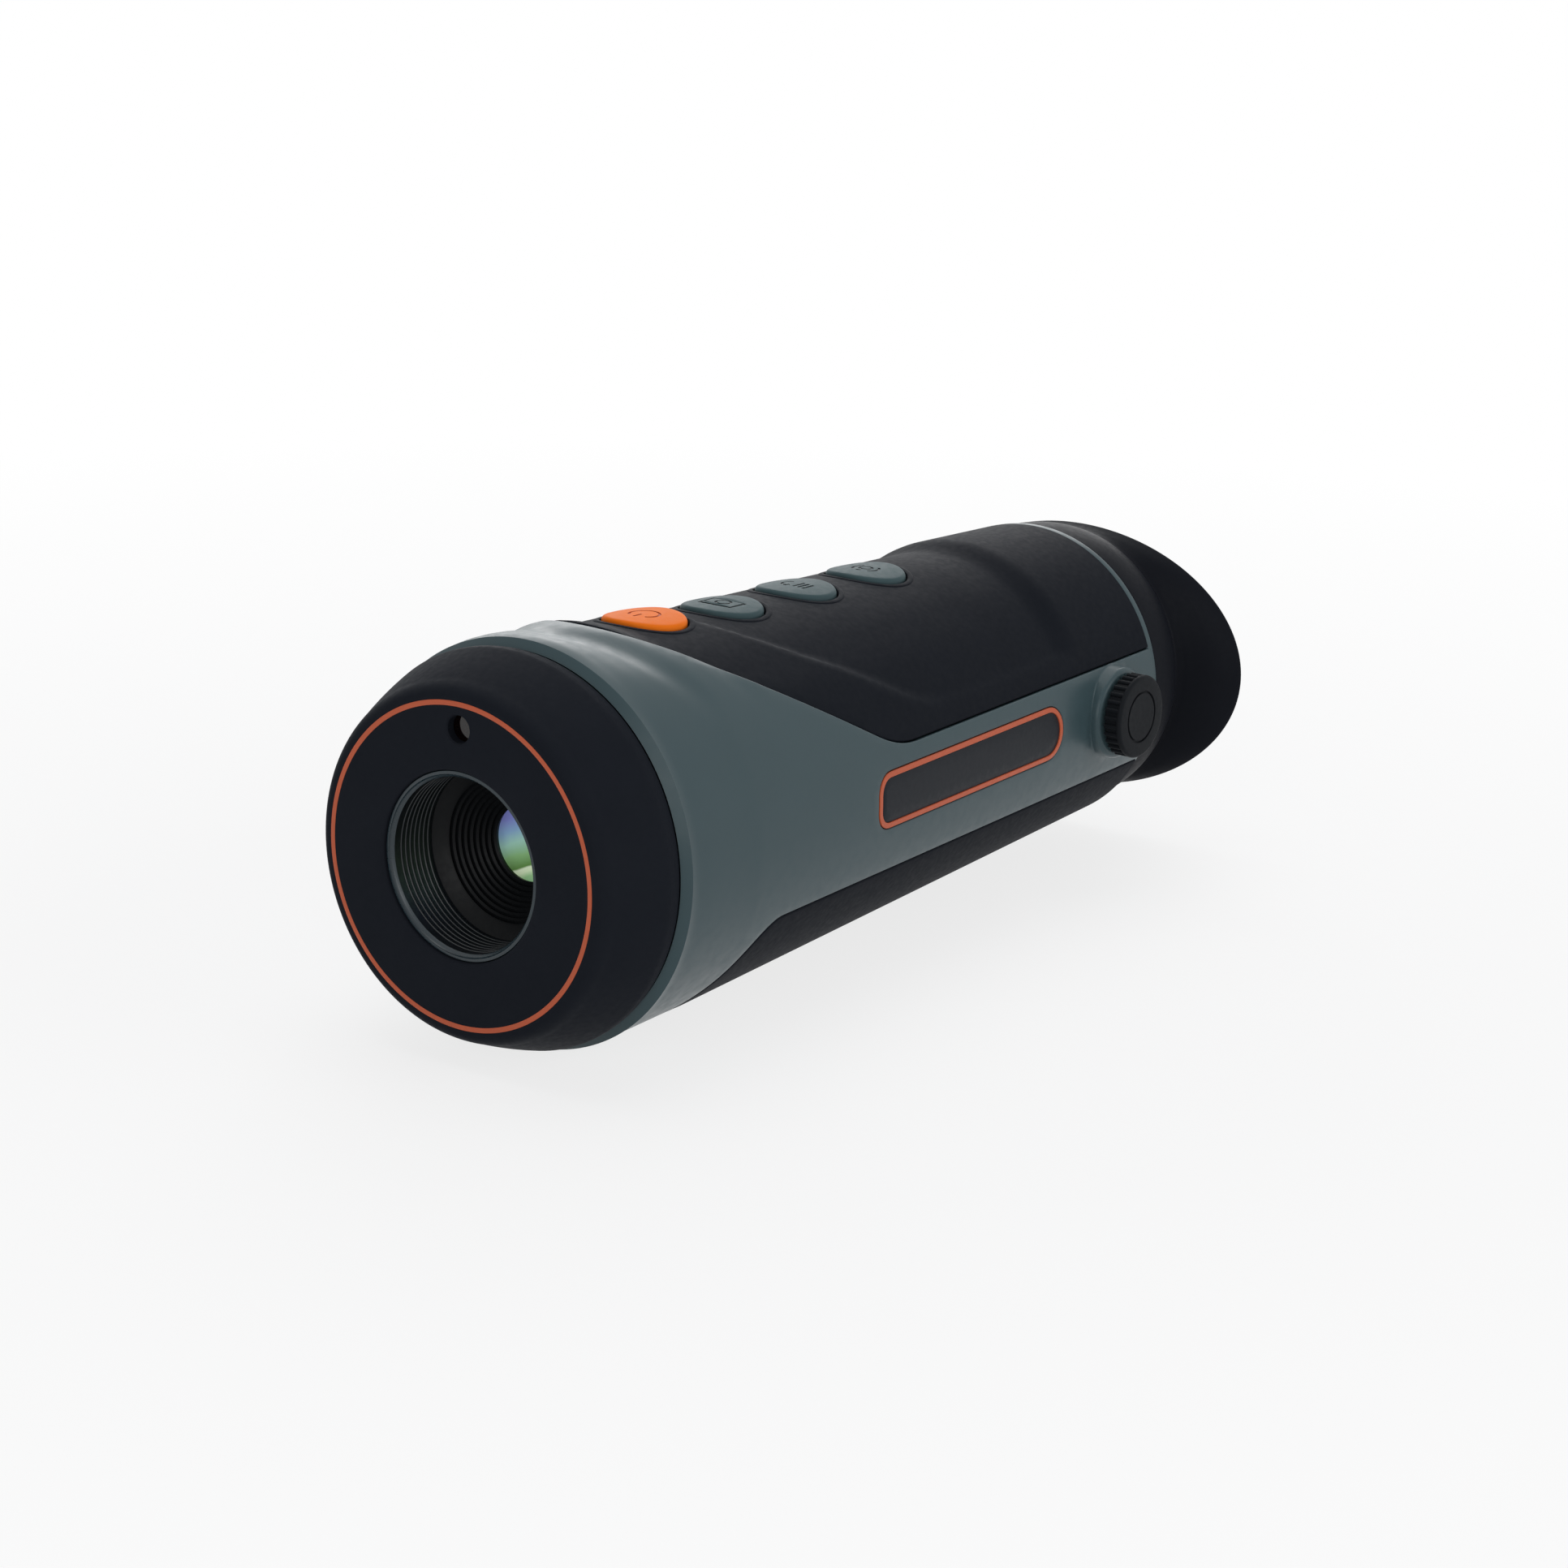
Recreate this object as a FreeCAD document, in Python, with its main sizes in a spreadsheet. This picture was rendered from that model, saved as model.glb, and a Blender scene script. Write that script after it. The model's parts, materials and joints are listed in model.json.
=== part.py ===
import FreeCAD, Part
import math
import os
import Sketcher

# Hand-held thermal monocular.  Every piece is drawn about the optical axis: the front
# face is at station 0, stations grow towards the eye along +Y, +X is the side with the
# dioptre knob and +Z is the button side.  The finished pieces are then placed so that
# the origin is the centre of the mouth of the tripod thread on the underside.

doc = FreeCAD.newDocument("ThermalMonocular")
sheet = doc.addObject("Spreadsheet::Sheet", "Sizes")

driving = [
    # where the axis and the tripod thread lie
    ("frontToTripod", 64.0, "front face to the tripod thread"),
    ("axisHeight", 27.7, "optical axis above the mouth of the tripod thread"),
    # outer form of the housing
    ("collarRadius", 30.4, "front collar of the housing"),
    ("collarStation", 13.4, "joint between bezel and housing"),
    ("collarFlare", 1.1, "chamfer at the front of the collar"),
    ("collarBand", 0.6, "width of the collar band behind its chamfer"),
    ("collarStep", 0.45, "step down behind the collar band"),
    ("waistStation", 27.0, "end of the front swelling"),
    ("taperFrontRadius", 29.7, "housing radius at the front of the long taper"),
    ("taperFrontStation", 31.0, "front of the long taper"),
    ("taperRearRadius", 25.5, "housing radius at the rear of the long taper"),
    ("taperRearStation", 141.0, "rear of the long taper"),
    ("housingEnd", 146.0, "rear end of the housing"),
    ("housingEndRadius", 25.0, "housing radius at its rear end"),
    ("ridgeLift", 1.2, "the raised axis of the two soft ridges on the shoulder"),
    ("ridgeHeight", 0.9, "height of each ridge over the hollow between them"),
    ("ridgeProud", 0.35, "crest of the ridges above the shoulder, at the crown"),
    ("ridgePitch", 9.0, "spacing of the two ridges"),
    ("ridgeStation", 19.0, "first ridge"),
    ("wall", 2.0, "structural wall under the covers"),
    ("coverDepth", 3.0, "depth of the pockets that hold the covers"),
    ("restFlat", 0.5, "depth of the narrow flat along the underside"),
    # covers
    ("coverDrop", 0.3, "rim of the top cover below the housing surface"),
    ("coverShift", 0.45, "the top cover's axis lies this much lower"),
    ("coverGap", 0.12, "open joint round each cover"),
    ("topEdgeHeight", 7.8, "lower edge of the top cover above the axis"),
    ("topEdgeStation", 69.0, "where that edge turns up towards the front"),
    ("topEdgeFront", 27.0, "front of the top cover, at the crown"),
    ("topEdgeCrown", 29.8, "height of the top cover's edge at that front"),
    ("gripDrop", 0.8, "grip panel below the housing surface"),
    ("gripShift", 0.9, "the grip panel's axis lies this much lower, so it is flatter"),
    ("gripInset", 3.3, "rim of the top cover under the grip panel"),
    ("gripKnee", 80.5, "where the grip panel's edge turns up"),
    ("gripRise", 110.0, "where the grip panel starts to rise at its rear"),
    ("gripRear", 122.5, "rear end of the grip panel"),
    ("gripRearDrop", 0.35, "grip panel below the top cover's rim at its rear end"),
    ("bottomEdgeHeight", 11.6, "edge of the bottom cover below the axis"),
    ("bottomEdgeStation", 36.6, "where that edge turns down towards the front"),
    ("bottomEdgeFront", 26.2, "front of the bottom cover, at the keel"),
    ("bottomEdgeKeel", 27.5, "depth of the bottom cover's edge at that front"),
    ("coverCorner", 4.0, "rounding of the covers' side corners"),
    # bezel and objective
    ("faceRadius", 27.8, "front face, to the corner that is rounded off"),
    ("faceRound", 3.4, "rounding of the front face"),
    ("bezelRearRadius", 29.3, "bezel at its joint with the housing"),
    ("bezelLip", 1.2, "thickness of the lip round the opening"),
    ("openingRadius", 13.6, "opening in the front face"),
    ("spigotRadius", 26.8, "spigot of the bezel in the housing"),
    ("spigotLength", 5.0, "length of that spigot"),
    ("ringRadius", 23.5, "centre line of the coloured ring"),
    ("ringWidth", 0.75, "width of the coloured ring"),
    ("ringDepth", 0.6, "depth of the coloured ring"),
    ("barrelRadius", 16.0, "outside of the lens barrel"),
    ("barrelWall", 3.2, "wall of the lens barrel at the front"),
    ("barrelEnd", 37.0, "rear end of the lens barrel"),
    ("threadEnd", 6.5, "end of the filter thread inside the barrel"),
    ("baffleEnd", 15.5, "rear end of the stepped baffle"),
    ("baffleCount", 6, "steps of the baffle"),
    ("baffleBore", 5.8, "smallest bore of the baffle"),
    ("baffleEdge", 0.4, "first step of the baffle inside the barrel's bore"),
    ("lensRadius", 9.0, "objective lens"),
    ("lensThickness", 3.6, "objective lens at its edge"),
    ("lensBulge", 0.8, "rise of each lens face"),
    ("rearLensThickness", 2.9, "second lens at its edge"),
    ("rearLensBulge", 0.64, "rise of each face of the second lens"),
    ("spacerGap", 0.2, "lens spacer to the lenses at its ends"),
    ("rearLensStation", 27.0, "front edge of the second lens"),
    ("laserHeight", 19.9, "laser window above the axis"),
    ("laserHole", 2.0, "radius of the laser's opening"),
    ("laserWindowRadius", 2.5, "laser window"),
    ("laserRadius", 3.0, "laser module"),
    ("laserLength", 17.0, "laser module"),
    ("bezelLedge", 0.3, "bezel in front of the laser window, behind the lip"),
    ("sealSection", 0.8, "section radius of the rubber rings"),
    ("sealInset", 1.4, "front seal behind the joint of bezel and housing"),
    ("seatFit", 0.05, "clearance of a turned piece in its seat"),
    ("closeFit", 0.02, "clearance of a piece that is glued or pressed in"),
    ("endGap", 0.1, "clearance at the end of a piece in its seat"),
    # shutter, sensor and boards
    ("shutterThickness", 3.4, "shutter frame"),
    ("shutterGap", 0.94, "shutter frame to the wall of the housing"),
    ("shutterRim", 1.9, "rim round the hollow in which the flag swings"),
    ("shutterAperture", 5.5, "hole in the shutter frame"),
    ("flagRadius", 6.2, "disc of the flag"),
    ("flagThickness", 1.0, "flag"),
    ("pivotSide", 12.0, "flag's pivot, to the side of the axis"),
    ("pivotDrop", 8.0, "flag's pivot, below the axis"),
    ("pivotRadius", 1.0, "flag's pivot pin"),
    ("pivotHub", 2.4, "hub of the flag round its pivot"),
    ("flagArm", 1.6, "half the width of the flag's arm"),
    ("flagGap", 0.3, "flag to the floor of its hollow"),
    ("frameTop", 0.4, "flat top of the shutter frame below the button board"),
    ("sensorSide", 26.0, "sensor module"),
    ("sensorDepth", 8.0, "sensor module"),
    ("boardThickness", 1.2, "circuit boards"),
    ("mainBoardHalf", 20.9, "half the width of the main board"),
    ("mainBoardFront", 52.0, "front edge of the main board"),
    ("mainBoardRear", 106.0, "rear edge of the main board"),
    ("shieldSide", 22.0, "shield can on the main board"),
    ("shieldHeight", 2.4, "shield can on the main board"),
    ("batteryRadius", 9.2, "battery cell"),
    ("batteryLength", 50.0, "battery cell"),
    ("batteryFront", 50.5, "front end of the battery cell"),
    ("batteryGap", 0.5, "battery holder to the wall of the housing"),
    ("holderWall", 1.1, "battery holder"),
    # buttons
    ("buttonFirst", 41.5, "station of the first button"),
    ("buttonPitch", 18.8, "spacing of the buttons"),
    ("buttonRadius", 6.3, "buttons"),
    ("buttonProud", 1.25, "buttons above the grip panel"),
    ("buttonGap", 0.45, "open ring round each button"),
    ("buttonTravel", 0.6, "stroke of the buttons"),
    ("buttonEdge", 0.6, "rounding of the buttons"),
    ("buttonUnder", 0.15, "button cap above the housing when it is pressed"),
    ("stemRadius", 2.2, "stem of the buttons"),
    ("stemFit", 0.08, "radial clearance of a button's stem"),
    ("stemRoot", 0.4, "root of the stem inside the button cap"),
    ("domeRadius", 2.6, "dome switches"),
    ("domeHeight", 0.6, "dome switches"),
    ("keyBoardHeight", 17.6, "top of the button board above the axis"),
    ("keyBoardHalf", 12.3, "half the width of the button board"),
    # eyepiece
    ("tubeFront", 112.0, "front end of the eyepiece tube"),
    ("tubeRadius", 18.4, "outside of the eyepiece tube"),
    ("tubeBore", 14.55, "bore of the eyepiece tube"),
    ("tubeFlange", 20.5, "flange of the eyepiece tube in the housing"),
    ("flangeLength", 5.0, "length of that flange"),
    ("neckRadius", 19.6, "neck that carries the eyecup"),
    ("neckEnd", 156.5, "rear end of the neck"),
    ("trimWidth", 2.8, "trim ring behind the housing"),
    ("trimRadius", 24.8, "trim ring behind the housing"),
    ("carrierRadius", 14.5, "sliding lens carrier"),
    ("carrierBore", 12.2, "bore of the lens carrier"),
    ("carrierFront", 126.0, "front end of the lens carrier"),
    ("carrierRear", 152.0, "rear end of the lens carrier"),
    ("carrierTravel", 2.0, "travel of the lens carrier each way"),
    ("eyeLensRadius", 12.1, "eyepiece lens"),
    ("eyeLensThickness", 4.0, "eyepiece lens at its edge"),
    ("eyeLensInset", 1.5, "eyepiece lens in front of the carrier's rear end"),
    ("eyeLensBulge", 1.4, "rise of each face of the eyepiece lens"),
    ("fieldLensBulge", 1.2, "rise of each face of the field lens"),
    ("fieldLensThickness", 2.8, "field lens at its edge"),
    ("stopGap", 0.6, "carrier at its rearmost to the eyepiece stop"),
    ("displayWidth", 15.0, "display"),
    ("displayHeight", 12.0, "display"),
    ("displayDepth", 2.6, "display"),
    # dioptre knob
    ("knobStation", 132.4, "axis of the dioptre knob"),
    ("knobRadius", 6.8, "knob"),
    ("knobBack", 27.9, "back of the knob, from the optical axis"),
    ("knobFace", 31.1, "face of the knob, from the optical axis"),
    ("knobChamfer", 0.7, "chamfer of the knob"),
    ("knobRing", 4.1, "fine groove in the knob's face"),
    ("knobGroove", 0.3, "width and depth of that groove"),
    ("knobBore", 1.75, "depth of the knob's bore for its shaft"),
    ("knurlCount", 30, "knurls of the knob"),
    ("knurlRadius", 0.38, "knurls of the knob"),
    ("knurlOut", 0.1, "centre of each knurl outside the knob"),
    ("bossRadius", 7.5, "boss behind the knob"),
    ("bossFace", 27.6, "face of that boss, from the optical axis"),
    ("bossRound", 0.8, "rounding of the boss"),
    ("sealLip", 0.6, "boss in front of the shaft's seal"),
    ("shaftRadius", 2.5, "knob's shaft"),
    ("shaftFit", 0.05, "radial clearance of the knob's shaft"),
    ("crankRadius", 5.0, "disc at the inner end of the shaft"),
    ("crankInner", 15.4, "inner face of that disc, from the optical axis"),
    ("crankThickness", 1.8, "that disc"),
    ("crankThrow", 3.6, "eccentric pin from the knob's axis"),
    ("crankPin", 1.0, "eccentric pin"),
    ("crankPinInner", 12.7, "inner end of the pin, from the optical axis"),
    ("crankPinFit", 0.22, "clearance of the pin in its slot"),
    ("crankGap", 0.3, "crank disc in the hole of the eyepiece tube"),
    ("crankSlotLow", 1.66, "lower end of the pin's slot, above the knob's axis"),
    # eyecup
    ("cupFront", 149.1, "front of the eyecup"),
    ("cupRadius", 24.0, "neck of the eyecup"),
    ("cupBore", 19.7, "bore of the eyecup on its neck"),
    ("cupFold", 157.6, "bottom of the fold behind the eyecup's neck"),
    ("cupFoldRadius", 21.6, "radius at the bottom of the fold"),
    ("cupNeckEnd", 154.2, "rear end of the eyecup's straight neck"),
    ("cupNeckTaper", 0.2, "narrowing of that neck"),
    ("cupSpread", 0.6, "fullness of the flare at half its length"),
    ("cupRim", 164.4, "rim of the eyecup at its sides"),
    ("cupDip", 2.2, "the rim lies this much further forward at its top and bottom"),
    ("cupHalfWidth", 31.4, "half the width of the eyecup's rim"),
    ("cupHalfHeight", 22.7, "half the height of the eyecup's rim"),
    ("cupThickness", 1.7, "rubber of the eyecup"),
    ("cupLip", 1.2, "rubber of the eyecup at its rim"),
    # side plate
    ("plateFront", 61.9, "front end of the side plate"),
    ("plateRear", 116.0, "rear end of the side plate"),
    ("plateLow", 3.9, "side plate below the axis"),
    ("plateHigh", 4.9, "side plate above the axis"),
    ("plateFrontRound", 2.2, "corners at the plate's front end"),
    ("plateRearRound", 4.1, "corners at the plate's rear end"),
    ("plateRim", 0.75, "coloured rim of the side plate"),
    ("plateDepth", 1.0, "side plate"),
    ("plateSunk", 0.1, "side plate below the housing surface"),
    ("rimProud", 0.05, "rim of the side plate above the housing surface"),
    # data port
    ("portStation", 98.0, "middle of the data port"),
    ("portWidth", 9.0, "data port"),
    ("portHeight", 3.2, "data port"),
    ("portDepth", 7.3, "data port"),
    ("portWall", 0.4, "shell of the data port"),
    ("portClear", 0.4, "mouth of the data port behind the port cover"),
    ("flapLength", 16.0, "port cover"),
    ("flapHeight", 8.0, "port cover"),
    ("flapThickness", 1.5, "port cover"),
    ("flapGap", 0.3, "open joint round the port cover"),
    # tripod thread
    ("threadRadius", 3.175, "tripod thread, quarter inch"),
    ("threadDepth", 4.6, "tripod thread"),
    ("insertRadius", 4.8, "brass insert"),
    ("insertLength", 5.4, "brass insert"),
    ("spotRadius", 6.0, "spot face round the insert"),
]


class Length:
    """A length that remembers the sheet formula it came from."""

    def __init__(self, value, formula):
        self.value = value
        self.formula = formula

    def __add__(self, other):
        other = as_length(other)
        return Length(self.value + other.value, f"({self.formula} + {other.formula})")

    def __sub__(self, other):
        other = as_length(other)
        return Length(self.value - other.value, f"({self.formula} - {other.formula})")

    def __mul__(self, other):
        other = as_length(other)
        return Length(self.value * other.value, f"({self.formula} * {other.formula})")

    def __truediv__(self, other):
        other = as_length(other)
        return Length(self.value / other.value, f"({self.formula} / {other.formula})")

    def __neg__(self):
        return Length(-self.value, f"(0 - {self.formula})")

    def __radd__(self, other):
        return as_length(other) + self

    def __rsub__(self, other):
        return as_length(other) - self


def as_length(number):
    return number if isinstance(number, Length) else Length(float(number), f"{float(number)}")


class Sizes:
    """The driving sizes by name, such as size.wall."""


size = Sizes()
for row, (name, value, meaning) in enumerate(driving, start=1):
    sheet.set(f"A{row}", name)
    sheet.set(f"B{row}", str(value))
    sheet.set(f"C{row}", meaning)
    sheet.setAlias(f"B{row}", name)
    setattr(size, name, Length(float(value), f"Sizes.{name}"))
doc.recompute()


def bind(thing, prop, length):
    """Set a property from a plain number or from the sheet."""
    if isinstance(length, Length):
        thing.setExpression(prop, length.formula)
    else:
        setattr(thing, prop, length)


def bind_place(thing, x=0.0, y=0.0, z=0.0):
    for axis, length in (("x", x), ("y", y), ("z", z)):
        if isinstance(length, Length):
            thing.setExpression(f"Placement.Base.{axis}", length.formula)
        elif length:
            setattr(thing.Placement.Base, axis, length)
    return thing


# ---------------------------------------------------------------- sketches and bodies

def pin_corner(sketch, line, across, along):
    """Hold the start of a line at two signed distances from the sketch's origin."""
    for kind, distance, axis in (("DistanceX", across, -2), ("DistanceY", along, -1)):
        distance = as_length(distance)
        if distance.formula in ("0.0", "-0.0"):
            sketch.addConstraint(Sketcher.Constraint("PointOnObject", line, 1, axis))
            continue
        index = sketch.addConstraint(
            Sketcher.Constraint(kind, -1, 1, line, 1, distance.value))
        sketch.setExpression(f"Constraints[{index}]", distance.formula)


def draw_outline(sketch, corners):
    """Close a polygon through (across, along[, round]) corners and round some of them."""
    corners = [tuple(as_length(part) for part in corner) for corner in corners]
    points = [FreeCAD.Vector(c[0].value, c[1].value, 0) for c in corners]
    count = len(points)
    for index in range(count):
        sketch.addGeometry(Part.LineSegment(points[index], points[(index + 1) % count]))
    for index in range(count):
        sketch.addConstraint(
            Sketcher.Constraint("Coincident", index, 2, (index + 1) % count, 1))
    for index, corner in enumerate(corners):
        pin_corner(sketch, index, corner[0], corner[1])
    for index, corner in enumerate(corners):
        if len(corner) == 3:
            sketch.fillet(index, 1, corner[2].value, True, True)
            arc = next(i for i in reversed(range(len(sketch.Geometry)))
                       if sketch.Geometry[i].TypeId == "Part::GeomArcOfCircle")
            radius = sketch.addConstraint(
                Sketcher.Constraint("Radius", arc, corner[2].value))
            sketch.setExpression(f"Constraints[{radius}]", corner[2].formula)


def new_body(label):
    body = doc.addObject("PartDesign::Body", label)
    body.Label = label
    return body


def body_sketch(body, name, plane, corners, offset=None):
    sketch = body.newObject("Sketcher::SketchObject", name)
    origin_plane = next(f for f in body.Origin.OriginFeatures if f.Role == plane)
    sketch.AttachmentSupport = (origin_plane, "")
    sketch.MapMode = "FlatFace"
    if offset is not None:
        sketch.setExpression("AttachmentOffset.Base.z", as_length(offset).formula)
    draw_outline(sketch, corners)
    return sketch


def turned(label, corners, about="V_Axis"):
    """A body turned about the optical axis: corners are (radius, station)."""
    body = new_body(label)
    sketch = body_sketch(body, label + "_profile", "XY_Plane", corners)
    turn = body.newObject("PartDesign::Revolution", label + "_turn")
    turn.Profile = sketch
    turn.ReferenceAxis = (sketch, [about])
    turn.Angle = 360
    body.Tip = turn
    return body


def side_prism(label, corners, half_width):
    """A prism seen from the side: corners are (station, height)."""
    body = new_body(label)
    sketch = body_sketch(body, label + "_outline", "YZ_Plane", corners)
    pad = body.newObject("PartDesign::Pad", label + "_pad")
    pad.Profile = sketch
    pad.Midplane = True
    bind(pad, "Length", as_length(half_width) * 2)
    body.Tip = pad
    return body


def cylinder(label, radius, length, x=0.0, y=0.0, z=0.0, along="Y"):
    """A round bar that starts at (x, y, z) and runs along an axis."""
    bar = doc.addObject("Part::Cylinder", label)
    bind(bar, "Radius", as_length(radius))
    bind(bar, "Height", as_length(length))
    turn = {"X": ((0, 1, 0), 90), "Y": ((1, 0, 0), -90), "Z": ((0, 0, 1), 0)}[along]
    bar.Placement.Rotation = FreeCAD.Rotation(FreeCAD.Vector(*turn[0]), turn[1])
    return bind_place(bar, as_length(x), as_length(y), as_length(z))


def block(label, width, length, height, x=0.0, y=0.0, z=0.0):
    """A box with its low corner at (x, y, z)."""
    box = doc.addObject("Part::Box", label)
    bind(box, "Length", as_length(width))
    bind(box, "Width", as_length(length))
    bind(box, "Height", as_length(height))
    return bind_place(box, as_length(x), as_length(y), as_length(z))


def ring(label, radius, section, station):
    """A rubber ring of round section about the optical axis."""
    torus = doc.addObject("Part::Torus", label)
    bind(torus, "Radius1", as_length(radius))
    bind(torus, "Radius2", as_length(section))
    torus.Placement.Rotation = FreeCAD.Rotation(FreeCAD.Vector(1, 0, 0), 90)
    return bind_place(torus, 0.0, as_length(station), 0.0)


def cut(label, base, *tools):
    for number, tool in enumerate(tools):
        last = number == len(tools) - 1
        step = doc.addObject("Part::Cut", label if last else f"{label}_cut{number}")
        step.Base = base
        step.Tool = tool
        base = step
    return base


def common(label, base, tool):
    step = doc.addObject("Part::Common", label)
    step.Base = base
    step.Tool = tool
    return step


def fuse(label, *shapes):
    step = doc.addObject("Part::MultiFuse", label)
    step.Shapes = list(shapes)
    step.Refine = True
    return step


def taper(station, inset=0.0):
    """Radius of the long taper of the housing at a station, less an inset."""
    slope = (size.taperFrontRadius - size.taperRearRadius) \
        / (size.taperRearStation - size.taperFrontStation)
    return size.taperFrontRadius - slope * (as_length(station) - size.taperFrontStation) \
        - inset


def cone(label, inset, front, rear):
    """A solid bounded by the long taper, sunk by an inset."""
    return turned(label, [(0, front), (taper(front, inset), front),
                          (taper(rear, inset), rear), (0, rear)])


nodes = []


def finish(thing, label=None):
    """Name a finished piece and place it about the tripod thread."""
    label = label or thing.Label
    thing.Label = label
    nodes.append(thing)
    return thing


# ---------------------------------------------------------------- forms shared by pieces

reach = 45.0  # past the outside of the housing, for cutting tools
margin = 1.0  # how far a cutting tool runs past the face that it opens


def top_zone(label, gap=0.0):
    """Side view of the top cover: level edge, then rising towards the front."""
    rise = (size.topEdgeCrown - size.topEdgeHeight) \
        / (size.topEdgeStation - size.topEdgeFront)
    front = size.topEdgeFront + gap
    level = size.topEdgeHeight + gap
    return side_prism(label, [
        (size.topEdgeStation, level, size.coverCorner),
        (size.housingEnd + margin, level),
        (size.housingEnd + margin, reach),
        (front, reach),
        (front, level + rise * (size.topEdgeStation - front))], reach)


def grip_zone(label):
    """Side view of the grip panel inside the top cover."""
    rise = (size.topEdgeCrown - size.topEdgeHeight) \
        / (size.topEdgeStation - size.topEdgeFront)
    level = size.topEdgeHeight + size.gripInset
    front = size.topEdgeFront + size.buttonPitch
    return side_prism(label, [
        (size.gripKnee, level, size.coverCorner),
        (size.gripRear, level, size.coverCorner),
        (size.gripRear, reach),
        (front, reach),
        (front, level + rise * (size.gripKnee - front))], reach)


def bottom_zone(label, gap=0.0):
    """Side view of the bottom cover: level edge, then falling towards the front."""
    level = -(size.bottomEdgeHeight + gap)
    return side_prism(label, [
        (size.bottomEdgeStation + gap, level, size.coverCorner),
        (size.bottomEdgeFront + gap, -size.bottomEdgeKeel),
        (size.bottomEdgeFront + gap, -reach),
        (size.housingEnd + margin, -reach),
        (size.housingEnd + margin, level)], reach)


def housing_form(label):
    """Outside of the closed housing, turned about the optical axis."""
    band = size.collarStation + size.collarFlare + size.collarBand
    return turned(label, [
        (0, size.collarStation),
        (size.collarRadius - size.collarFlare, size.collarStation),
        (size.collarRadius, size.collarStation + size.collarFlare),
        (size.collarRadius, band),
        (size.collarRadius - size.collarStep, band + size.collarStep),
        (size.taperFrontRadius, size.waistStation),
        (size.taperFrontRadius, size.taperFrontStation),
        (size.taperRearRadius, size.taperRearStation),
        (size.housingEndRadius, size.housingEnd),
        (0, size.housingEnd)])


def rest_tool(label):
    """Everything below the narrow flat along the underside."""
    front = size.collarStation - margin
    rear = size.housingEnd + margin
    return side_prism(label, [
        (front, size.restFlat - taper(front)),
        (front, -reach),
        (rear, -reach),
        (rear, size.restFlat - taper(rear))], reach)


def station_of(number):
    return size.buttonFirst + size.buttonPitch * number


button_names = ["power_button", "capture_button", "menu_button", "zoom_button"]
stations = [station_of(number) for number in range(len(button_names))]


def button_holes(label, radius):
    """Upright round bars through the crown at the four buttons."""
    bars = [cylinder(f"{label}_{number}", radius, reach, 0, station, margin, "Z")
            for number, station in enumerate(stations)]
    return fuse(label, *bars)


def lens(label, radius, front, edge, bulge):
    """A lens with two domed faces: a bar between two large spheres."""
    radius, front, edge, bulge = (as_length(v) for v in (radius, front, edge, bulge))
    dome = (radius * radius + bulge * bulge) / (bulge * 2)
    bar = cylinder(label + "_bar", radius, edge + bulge * 2, 0, front - bulge, 0)
    faces = []
    for end, middle in (("front", front - bulge + dome), ("rear", front + edge + bulge - dome)):
        ball = doc.addObject("Part::Sphere", f"{label}_{end}")
        bind(ball, "Radius", dome)
        faces.append(bind_place(ball, 0, middle, 0))
    return common(label, common(label + "_half", bar, faces[0]), faces[1])


# ---------------------------------------------------------------- bezel and objective

def front_bezel():
    seat = size.barrelRadius + size.seatFit
    ring_inner = size.ringRadius - size.ringWidth / 2
    ring_outer = size.ringRadius + size.ringWidth / 2
    rear = size.collarStation + size.spigotLength
    form = turned("bezel_form", [
        (size.openingRadius, 0),
        (ring_inner, 0),
        (ring_inner, size.ringDepth),
        (ring_outer, size.ringDepth),
        (ring_outer, 0),
        (size.faceRadius, 0, size.faceRound),
        (size.bezelRearRadius, size.collarStation),
        (size.spigotRadius, size.collarStation),
        (size.spigotRadius, rear),
        (seat, rear),
        (seat, size.bezelLip),
        (size.openingRadius, size.bezelLip)])
    window = size.bezelLip + size.bezelLedge
    hole = cylinder("laser_hole", size.laserHole, window + margin,
                    0, -margin, size.laserHeight)
    step = cylinder("laser_step", size.laserWindowRadius, margin * 2,
                    0, window, size.laserHeight)
    pocket = cylinder("laser_pocket", size.laserRadius + size.seatFit, rear,
                      0, window + margin, size.laserHeight)
    # the rubber ring on the spigot lies in a square groove
    bottom = size.spigotRadius - size.sealSection * 2 - size.seatFit
    groove_front = size.collarStation + size.sealInset
    groove_rear = groove_front + size.sealSection * 2
    groove = turned("bezel_groove", [
        (bottom, groove_front), (size.spigotRadius + margin, groove_front),
        (size.spigotRadius + margin, groove_rear), (bottom, groove_rear)])
    return finish(cut("front_bezel", form, hole, step, pocket, groove))


def bezel_parts():
    inner = size.ringRadius - size.ringWidth / 2
    outer = size.ringRadius + size.ringWidth / 2
    finish(turned("bezel_ring", [(inner, 0), (outer, 0),
                                 (outer, size.ringDepth), (inner, size.ringDepth)]))
    finish(ring("front_seal", size.spigotRadius - size.sealSection,
                size.sealSection - size.closeFit,
                size.collarStation + size.sealInset + size.sealSection))
    window = size.bezelLip + size.bezelLedge
    finish(cylinder("laser_window", size.laserWindowRadius - size.seatFit, margin,
                    0, window, size.laserHeight))
    finish(cylinder("laser_module", size.laserRadius, size.laserLength,
                    0, window + margin, size.laserHeight))


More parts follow.
